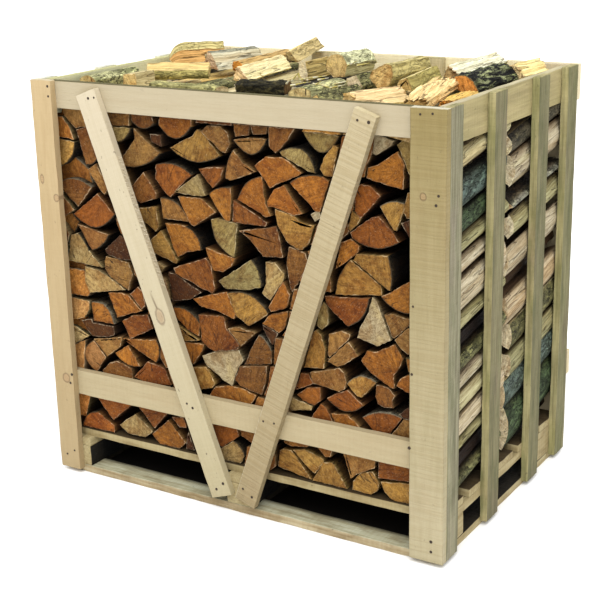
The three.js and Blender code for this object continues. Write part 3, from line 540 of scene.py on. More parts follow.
# split logs
tones = {  # cut end, split side
    "orange": ((224, 154, 62), (196, 160, 104)), "tan": ((210, 164, 94), (194, 166, 116)), "pale": ((230, 208, 146), (212, 196, 150)),
    "red": ((194, 122, 48), (178, 136, 86)), "brown": ((174, 122, 58), (168, 138, 94)), "yellow": ((228, 184, 98), (210, 184, 118)),
    "dark": ((112, 70, 26), (104, 82, 60)), "green": ((204, 188, 124), (176, 164, 118)), "white": ((250, 240, 200), (218, 210, 174)),
    "guess": ((206, 146, 72), (196, 170, 122)),
}
sideTones = ((206, 198, 158), (186, 180, 136), (218, 202, 172), (170, 166, 124))  # split sides beside the slats
barkTones = {"plain": (104, 96, 76), "light": (176, 176, 160), "blue": (96, 112, 104), "green": (74, 92, 62), "olive": (122, 118, 78), "dark": (52, 46, 38), "moss": (186, 184, 136)}

duskTones = {"middle": (250, 238, 204)}


def logFinish(name, kind):
    made = Finish(name)
    along, acrossA, acrossB = made.parts(made.stored("grain"))[:]
    seed = made.stored("seed", "Fac")
    if kind == "end":
        tone = made.stored("endTone", "Color")
        radius = made.vector("LENGTH", made.join(0.0, acrossA, acrossB))
        angle = made.calc("ARCTAN2", acrossB, acrossA)
        flat = made.join(acrossA, acrossB, seed)
        clouds = made.noise(flat, 17.0, 3.0, 0.6, 0.5)
        soft = made.noise(made.join(made.calc("MULTIPLY", angle, 9.0), made.calc("MULTIPLY", radius, 22.0), made.calc("MULTIPLY", seed, 5.0)), 1.0, 4.0, 0.65)
        rays = made.noise(made.join(made.calc("MULTIPLY", angle, 26.0), made.calc("MULTIPLY", radius, 70.0), made.calc("MULTIPLY", seed, 5.0)), 1.0, 3.0, 0.7)
        mottle = made.noise(flat, 85.0, 4.0, 0.7)
        fuzz = made.noise(flat, 330.0, 3.0, 0.7)
        turned = made.calc("MULTIPLY", seed, 6.28)
        along2 = made.calc("ADD", made.calc("MULTIPLY", acrossA, made.calc("COSINE", turned)), made.calc("MULTIPLY", acrossB, made.calc("SINE", turned)))
        across2 = made.calc("SUBTRACT", made.calc("MULTIPLY", acrossB, made.calc("COSINE", turned)), made.calc("MULTIPLY", acrossA, made.calc("SINE", turned)))
        saw = made.noise(made.join(made.calc("MULTIPLY", along2, 190.0), made.calc("MULTIPLY", across2, 12.0), made.calc("MULTIPLY", seed, 9.0)), 1.0, 2.0)
        sawAmount = made.ease(made.calc("FRACT", made.calc("MULTIPLY", seed, 7.3)), 0.35, 0.8)
        line = made.noise(made.join(made.calc("MULTIPLY", angle, 3.2), made.calc("MULTIPLY", radius, 5.0), made.calc("MULTIPLY", seed, 11.0)), 1.0, 2.0, 0.5, 0.2)
        line = made.ease(made.calc("ABSOLUTE", made.calc("SUBTRACT", line, 0.5)), 0.003, 0.010, 1.0, 0.0)
        broken = made.noise(made.join(made.calc("MULTIPLY", angle, 6.0), made.calc("MULTIPLY", radius, 30.0), made.calc("MULTIPLY", seed, 3.0)), 1.0, 1.0)
        crack = made.calc("MULTIPLY", line, made.calc("MULTIPLY", made.ease(broken, 0.5, 0.6), made.ease(made.calc("FRACT", made.calc("MULTIPLY", seed, 3.7)), 0.5, 0.8)))
        amount = made.calc("ADD", made.calc("MULTIPLY", made.ease(soft, 0.32, 0.68), 0.26), made.calc("MULTIPLY", made.ease(rays, 0.34, 0.66), 0.20))
        amount = made.calc("ADD", amount, made.calc("MULTIPLY", made.ease(mottle, 0.36, 0.64), 0.30))
        amount = made.calc("ADD", amount, made.calc("MULTIPLY", made.ease(fuzz, 0.34, 0.66), 0.24))
        amount = made.calc("ADD", amount, made.calc("MULTIPLY", made.calc("MULTIPLY", made.calc("SUBTRACT", saw, 0.5), sawAmount), 0.9), True)
        colour = made.mix(amount, made.mix(1.0, tone, (0.36, 0.25, 0.14), "MULTIPLY"), made.mix(1.0, tone, (1.9, 1.96, 1.95), "MULTIPLY"))
        # broad patches: some redder and darker, some yellower
        colour = made.mix(made.calc("MULTIPLY", made.ease(clouds, 0.5, 0.64), 0.65), colour, made.mix(1.0, colour, (0.62, 0.46, 0.30), "MULTIPLY"))
        colour = made.mix(made.calc("MULTIPLY", made.ease(clouds, 0.47, 0.32), 0.6), colour, made.mix(1.0, colour, (1.25, 1.22, 1.0), "MULTIPLY"))
        slope = made.ease(along2, -0.05, 0.05, 1.0, 0.0)
        colour = made.mix(made.calc("MULTIPLY", slope, 0.5), colour, made.mix(1.0, colour, (0.70, 0.58, 0.44), "MULTIPLY"))
        # pale torn flecks
        flecks = made.ease(made.noise(made.join(made.calc("MULTIPLY", along2, 420.0), made.calc("MULTIPLY", across2, 150.0), seed), 1.0, 3.0, 0.7), 0.58, 0.68)
        colour = made.mix(made.calc("MULTIPLY", flecks, 0.5), colour, made.mix(0.4, made.mix(1.0, tone, (1.9, 2.0, 2.1), "MULTIPLY"), paint(244, 228, 188)))
        rim = made.stored("rim", "Fac")
        rimNoise = made.calc("MULTIPLY", made.calc("SUBTRACT", made.noise(flat, 150.0, 2.0), 0.5), 0.005)
        # each end darkens towards its rim
        darkerAtRim = made.ease(made.calc("ADD", rim, rimNoise), 0.001, 0.013, 1.0, 0.0)
        colour = made.mix(made.calc("MULTIPLY", darkerAtRim, 0.62), colour, made.mix(1.0, colour, (0.44, 0.34, 0.26), "MULTIPLY"))
        # a thin broken pale rim on each end: torn fibres and pale wood under the bark, and partly a painted highlight
        # on the cut edge
        paleRim = made.ease(made.calc("ADD", rim, rimNoise), 0.0004, 0.0026, 1.0, 0.0)
        colour = made.mix(made.calc("MULTIPLY", paleRim, made.ease(broken, 0.46, 0.62, 0.1, 0.7)), colour, made.mix(0.5, made.mix(1.0, tone, (1.6, 1.6, 1.6), "MULTIPLY"), paint(252, 236, 200)))
        skin = made.ease(made.calc("ADD", made.stored("skin", "Fac"), rimNoise), 0.0014, 0.0028, 1.0, 0.0)
        colour = made.mix(made.calc("MULTIPLY", skin, 0.9), colour, made.mix(1.0, made.stored("barkTone", "Color"), (0.6, 0.5, 0.4), "MULTIPLY"))
        colour = made.mix(made.calc("MULTIPLY", crack, 0.8), colour, paint(50, 34, 22))
        made.feed(made.surface.inputs["Roughness"], made.ease(fuzz, 0.2, 0.8, 0.7, 0.95))
        made.bumps((mottle, 0.0016), (fuzz, 0.0012), (rays, 0.0010), (made.calc("MULTIPLY", saw, sawAmount), 0.0016), (crack, -0.002))
    elif kind == "split":
        tone = made.stored("sideTone", "Color")
        flow = made.join(made.calc("MULTIPLY", along, 1.8), made.calc("MULTIPLY", acrossA, 26.0), made.calc("MULTIPLY", acrossB, 26.0))
        drift = made.noise(made.vector("ADD", flow, made.join(seed, seed, seed)), 0.8, 3.0, 0.55, 0.6)
        streaks = made.noise(flow, 4.0, 4.0, 0.7)
        fibre = made.noise(flow, 15.0, 3.0, 0.7)
        splits = made.ease(made.calc("ABSOLUTE", made.calc("SUBTRACT", made.noise(flow, 2.4, 2.0, 0.5, 0.08), 0.5)), 0.003, 0.014, 1.0, 0.0)
        amount = made.calc("ADD", made.calc("MULTIPLY", made.ease(streaks, 0.34, 0.64), 0.55), made.calc("MULTIPLY", made.ease(fibre, 0.34, 0.66), 0.45))
        colour = made.mix(amount, made.mix(1.0, tone, (0.56, 0.49, 0.34), "MULTIPLY"), made.mix(1.0, tone, (1.42, 1.42, 1.38), "MULTIPLY"))
        colour = made.mix(made.calc("MULTIPLY", made.ease(drift, 0.52, 0.66), 0.5), colour, made.mix(1.0, colour, (0.85, 0.66, 0.44), "MULTIPLY"))
        colour = made.mix(made.calc("MULTIPLY", made.ease(drift, 0.44, 0.32), 0.4), colour, made.mix(1.0, colour, (0.94, 1.0, 0.74), "MULTIPLY"))
        colour = made.mix(made.calc("MULTIPLY", splits, 0.6), colour, made.mix(1.0, tone, (0.20, 0.15, 0.10), "MULTIPLY"))
        made.feed(made.surface.inputs["Roughness"], made.ease(fibre, 0.2, 0.8, 0.62, 0.9))
        made.bumps((streaks, 0.004), (fibre, 0.002), (splits, -0.004))
    else:
        tone = made.stored("barkTone", "Color")
        flow = made.join(made.calc("MULTIPLY", along, 13.0), made.calc("MULTIPLY", acrossA, 34.0), made.calc("MULTIPLY", acrossB, 34.0))
        patches = made.noise(flow, 1.0, 4.0, 0.65, 0.4)
        lichen = made.noise(made.vector("ADD", flow, (7.0, 3.0, 1.0)), 2.6, 4.0, 0.72)
        grit = made.noise(flow, 9.0, 3.0, 0.7)
        shadedFurrow = made.ease(made.calc("ABSOLUTE", made.calc("SUBTRACT", made.noise(flow, 1.7, 3.0, 0.6, 0.8), 0.5)), 0.006, 0.03, 1.0, 0.0)
        colour = made.mix(made.ease(patches, 0.38, 0.62), made.mix(1.0, tone, (0.40, 0.42, 0.34), "MULTIPLY"), made.mix(1.0, tone, (1.2, 1.2, 1.2), "MULTIPLY"))
        colour = made.mix(made.calc("MULTIPLY", made.ease(lichen, 0.53, 0.62), 0.75), colour, made.mix(1.0, tone, (2.1, 2.15, 1.9), "MULTIPLY"))
        colour = made.mix(made.calc("MULTIPLY", made.ease(grit, 0.52, 0.66), 0.7), colour, made.mix(1.0, tone, (0.22, 0.2, 0.16), "MULTIPLY"))
        # painted shade: the furrows of the bark are darkened
        colour = made.mix(made.calc("MULTIPLY", shadedFurrow, 0.8), colour, made.mix(1.0, tone, (0.10, 0.09, 0.07), "MULTIPLY"))
        threads = made.noise(made.join(made.calc("MULTIPLY", along, 7.0), made.calc("MULTIPLY", acrossA, 110.0), made.calc("MULTIPLY", acrossB, 110.0)), 1.0, 3.0, 0.7)
        plain = made.mix(made.ease(threads, 0.34, 0.66), made.mix(1.0, tone, (0.62, 0.58, 0.46), "MULTIPLY"), made.mix(1.0, tone, (1.3, 1.3, 1.26), "MULTIPLY"))
        calm = made.stored("calm", "Fac")
        colour = made.mix(made.calc("MAXIMUM", calm, 0.0), colour, plain)
        # where calm is below zero the bark is brightened as a painted highlight on the ridges, and the clefts between
        # them get a painted shade near black
        shadedCleft = made.noise(made.join(made.calc("MULTIPLY", along, 11.0), made.calc("MULTIPLY", acrossA, 42.0), made.calc("MULTIPLY", acrossB, 42.0)), 1.0, 3.0, 0.5, 1.0)
        shadedCleft = made.ease(made.calc("ABSOLUTE", made.calc("SUBTRACT", shadedCleft, 0.5)), 0.03, 0.11, 1.0, 0.0)
        ridge = made.mix(made.calc("MAXIMUM", made.calc("MULTIPLY", calm, -1.0), 0.0), colour, made.mix(1.0, colour, (1.8, 1.85, 1.7), "MULTIPLY"))
        colour = made.mix(made.calc("MULTIPLY", made.calc("MAXIMUM", made.calc("MULTIPLY", calm, -1.0), 0.0), shadedCleft), ridge, (0.004, 0.004, 0.003))
        made.feed(made.surface.inputs["Roughness"], made.ease(grit, 0.2, 0.8, 0.6, 0.92))
        made.bumps((patches, 0.003), (lichen, 0.0025), (grit, 0.0018), (shadedFurrow, -0.004))
    made.surface.inputs["Specular IOR Level"].default_value = 0.2
    made.feed(made.surface.inputs["Base Color"], colour)
    return made.material


logFinishes = [logFinish("cutEnd", "end"), logFinish("splitSide", "split"), logFinish("bark", "bark")]


def wallEdges(corners):  # edges that lie against the side slats
    count = len(corners)
    return [k for k in range(count) if all(abs(corners[j][0]) > 570 for j in (k, (k + 1) % count))]


def outlineOf(bulge, corners, spacing, waver, barkEdges, wild):
    # dense points round a log, and for each the number of the edge that starts there; against the
    # side slats the logs are rounded, so that dark gaps stay between them
    points, edges = [], []
    count = len(corners)
    walls = wallEdges(corners)
    rounding = (12.0 if corners[0][0] > 0 else 6.0) * (1 + 0.5 * math.sin(corners[0][1]))
    for k in walls:
        for j in (k, (k + 1) % count):
            x, z = corners[j]
            corners = [*corners[:j], (x - math.copysign(rounding, x), z), *corners[j + 1:]]
    rest = corners[2:]
    for number in range(count):
        start, end = Vector(corners[number]), Vector(corners[(number + 1) % count])
        run = end - start
        side = Vector((-run.y, run.x)).normalized() if run.length > 0 else Vector((0, 1))
        bow = 0.0
        if number == 0 and bulge > 0:
            bow = bulge
            if rest:
                middle = sum((Vector(corner) for corner in rest), Vector((0, 0))) / len(rest)
                bow = -bulge if (middle - start).dot(side) > 0 else bulge
        if number in walls:
            bow = rounding if side.x * start.x > 0 else -rounding
        steps = max(1, round((run.length + abs(bow)) / spacing))
        for step in range(steps):
            t = step / steps
            bulk = 4 * t * (1 - t)
            push = bow * bulk
            if step:
                push += wild.uniform(-waver, waver) * (0.4 if number in barkEdges else 1.0)
            points.append(start + run * t + side * push)
            edges.append(number)
    area = sum(a.x * b.y - b.x * a.y for a, b in zip(points, points[1:] + points[:1]))
    if area < 0:
        points = [points[0]] + points[:0:-1]
        edges = edges[::-1]
    return points, edges


def pithOf(points, corners, bulge):
    # growth centre: behind the corner that faces the first edge
    first, second = Vector(corners[0]), Vector(corners[1])
    middle = (first + second) / 2
    centre = sum(points, Vector((0, 0))) / len(points)
    inward = (centre - middle).normalized()
    chord = (second - first).length
    radius = (chord * chord / 4 + bulge * bulge) / (2 * bulge) if bulge > 0 else 95.0
    return middle + inward * min(max(radius - bulge, 55.0), 130.0)


def gapTo(points, segments):  # distance from each point to the nearest of the segments
    best = np.full(len(points), 1.0)
    for a, b in segments:
        run = b - a
        t = np.clip(((points - a) @ run) / max(run @ run, 1e-12), 0, 1)
        best = np.minimum(best, np.linalg.norm(points - (a + t[:, None] * run), axis=1))
    return best


def growLogs(name, logs, steps, insets, bothEnds):
    # each outline becomes a flat face at y = 0, drawn out through the steps; ends get inset rims
    bpy.ops.object.select_all(action="DESELECT")
    for number, log in enumerate(logs):
        bpy.ops.mesh.primitive_circle_add(vertices=len(log["points"]), radius=0.01, fill_type="NGON")
        if number == 0:
            piece = bpy.context.object
            piece.name = name
            editMode()
    objectMode()
    mesh = piece.data
    flat = [(p.x / 1000, 0.0, p.y / 1000) for log in logs for p in log["points"]]
    putCoords(mesh, flat)
    putValues(mesh, "logNumber", [n for n, log in enumerate(logs) for _ in log["points"]])
    putValues(mesh, "pointNumber", [k for log in logs for k in range(len(log["points"]))])
    editMode()
    bpy.ops.mesh.select_all(action="SELECT")
    for step in steps:
        bpy.ops.mesh.extrude_region_move(TRANSFORM_OT_translate={"value": (0, step, 0)})
    bpy.ops.mesh.select_all(action="SELECT")
    bpy.ops.mesh.normals_make_consistent(inside=False)
    objectMode()
    total = sum(steps)
    for end in ((0.0, total) if bothEnds else (0.0,)):
        mesh = piece.data
        coords = coordsOf(mesh)
        for face in mesh.polygons:
            face.select = abs(coords[list(face.vertices), 1] - end).max() < 1e-6
        editMode()
        for inset in insets:
            bpy.ops.mesh.inset(thickness=inset, depth=0, use_even_offset=False)
        objectMode()
    return piece


def dressLogs(piece, logs, total, bothEnds, endWaver):
    # moves every log to its own length, and stores what the finishes read
    mesh = piece.data
    coords = coordsOf(mesh)
    owner = np.rint(getValues(mesh, "logNumber")).astype(int)
    point = np.rint(getValues(mesh, "pointNumber")).astype(int)
    size = len(coords)
    grain, rim, skin, seed = np.zeros((size, 3)), np.full(size, 0.05), np.full(size, 0.05), np.zeros(size)
    tonesOf = {key: np.zeros((size, 3)) for key in ("endTone", "sideTone", "barkTone")}
    calm = np.zeros(size)
    atFront, atBack = coords[:, 1] < 1e-6, coords[:, 1] > total - 1e-6
    ends = atFront | (atBack if bothEnds else False)
    placed = coords.copy()
    for number, log in enumerate(logs):
        mine = owner == number
        flat = coords[mine][:, [0, 2]]
        outline = np.array([(p.x / 1000, p.y / 1000) for p in log["points"]])
        loop = [(outline[k], outline[(k + 1) % len(outline)]) for k in range(len(outline))]
        rim[mine] = np.where(ends[mine], gapTo(flat, loop), 0.05)
        barkLoop = [pair for pair, edge in zip(loop, log["edges"]) if edge in log["barkEdges"]]
        if barkLoop:
            skin[mine] = np.where(ends[mine], gapTo(flat, barkLoop), 0.05)
        middle = flat.mean(axis=0)
        lean = log["lean"]
        along = coords[mine, 1] / total
        tilt = (flat - middle) @ np.array(lean)
        start, end = log["start"] / 1000, log["end"] / 1000
        if not bothEnds and flat[:, 0].max() > 0.56:
            end += math.copysign(0.017 + 0.017 * math.sin(number * 2.4), start)
        wild = np.array([math.sin(p[0] * 911 + p[1] * 577 + number) for p in flat]) * endWaver
        chamfer = np.where(rim[mine] < 1e-5, 0.0012, 0.0)
        front = start + tilt + wild + chamfer
        rear = end - (chamfer - tilt - wild if bothEnds else 0.0)
        placed[mine, 1] = front * (1 - along) + rear * along
        if not bothEnds:  # beside the slats the logs rise a little towards the back
            beside = np.clip((flat[:, 0] - 0.50) / 0.06, 0, 1)
            depth = placed[mine, 1] - math.copysign(0.185, start)
            placed[mine, 2] = np.maximum(placed[mine, 2] + 0.15 * depth * beside, placed[mine, 2].min() if placed[mine, 2].min() < 0.14 else 0)
        pith = np.array((log["pith"].x, log["pith"].y)) / 1000
        grain[mine] = np.column_stack([placed[mine, 1] + number * 0.7, flat - pith])
        seed[mine], calm[mine] = log["seed"], log["calm"]
        shade = np.ones(mine.sum())
        if not bothEnds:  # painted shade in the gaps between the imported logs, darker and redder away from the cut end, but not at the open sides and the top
            bare = np.maximum(np.clip((abs(flat[:, 0]) - 0.558) / 0.016, 0, 1), np.clip((flat[:, 1] - 1.03) / 0.02, 0, 1))
            shade = np.maximum(bare, 0.085 + 0.6 * np.exp(-coords[mine, 1] / 0.008))
        for key, values in tonesOf.items():
            values[mine] = log[key] * np.column_stack([shade, shade ** 1.2, shade ** 1.4])
            if key == "endTone" and not bothEnds:  # ends towards the middle of the crate
                values[mine] = np.where((along[:, None] > 0.99) & (abs(flat).max() > 0.56), paint(*duskTones["middle"]), values[mine])
    # sides start at the rim of an end face; the kind of each face is kept by its place
    kinds = []
    for face in mesh.polygons:
        corners = list(face.vertices)
        if all(ends[corners]) or abs(np.ptp(coords[corners, 1])) < 1e-6:
            kinds.append(0)
            continue
        log = logs[owner[corners[0]]]
        numbers = sorted(set(point[corners]))
        last = len(log["points"]) - 1
        edge = log["edges"][last if numbers[0] == 0 and numbers[-1] == last else numbers[0]]
        kinds.append(2 if edge in log["barkEdges"] else 1)
    putCoords(mesh, placed)
    mesh.materials.clear()
    for finish in logFinishes:
        mesh.materials.append(finish)
    mesh.polygons.foreach_set("material_index", kinds)
    for key, values in (("grain", grain), ("rim", rim), ("skin", skin), ("seed", seed), ("calm", calm), *tonesOf.items()):
        putValues(mesh, key, values)
    for key in ("logNumber", "pointNumber"):
        mesh.attributes.remove(mesh.attributes[key])


def vary(colour, wild, amount=0.1):  # a little lighter or darker, warmer or cooler
    light, warm = wild.uniform(1 - amount, 1 + amount), wild.uniform(-amount, amount) * 0.5
    return np.array(paint(*colour)) * (light * (1 + warm), light, light * (1 - warm))


def prepareLog(tone, bulge, corners, start, end, wild, spacing=9.0, waver=1.1, barkEdges=None, barkTone=None, sideTone=None):
    lit = tone.endswith("*")
    tone, _, cut = tone.rstrip("*").partition(":")
    barky = tone.startswith("bark")
    if barkEdges is None:
        barkEdges = set(range(len(corners))) if barky else ({0} if bulge > 0 else set())
    ends, sides = tones[cut or ("guess" if barky else tone)]
    skin = barkTone or barkTones[tone[4:].lower() if barky else "light" if lit else "plain"]
    walls = wallEdges(corners)
    if walls and not barky and barkTone is None and wild.random() < 0.5 and corners[walls[0]][0] * (start + end) > 0:
        barkEdges = barkEdges | set(walls)
        skin = barkTones[wild.choice(("blue", "green", "olive", "plain"))]
    if walls:
        sideTone = wild.choice(sideTones)
    points, edges = outlineOf(bulge, corners, spacing, waver, barkEdges, wild)
    return {"points": points, "edges": edges, "barkEdges": barkEdges, "pith": pithOf(points, corners, bulge), "start": start, "end": end,
            "lean": (wild.uniform(-0.05, 0.05), wild.uniform(-0.06, 0.06)), "calm": 0.0, "seed": wild.uniform(0, 10),
            "endTone": vary(ends, wild), "sideTone": vary(sideTone or sides, wild), "barkTone": vary(skin, wild)}


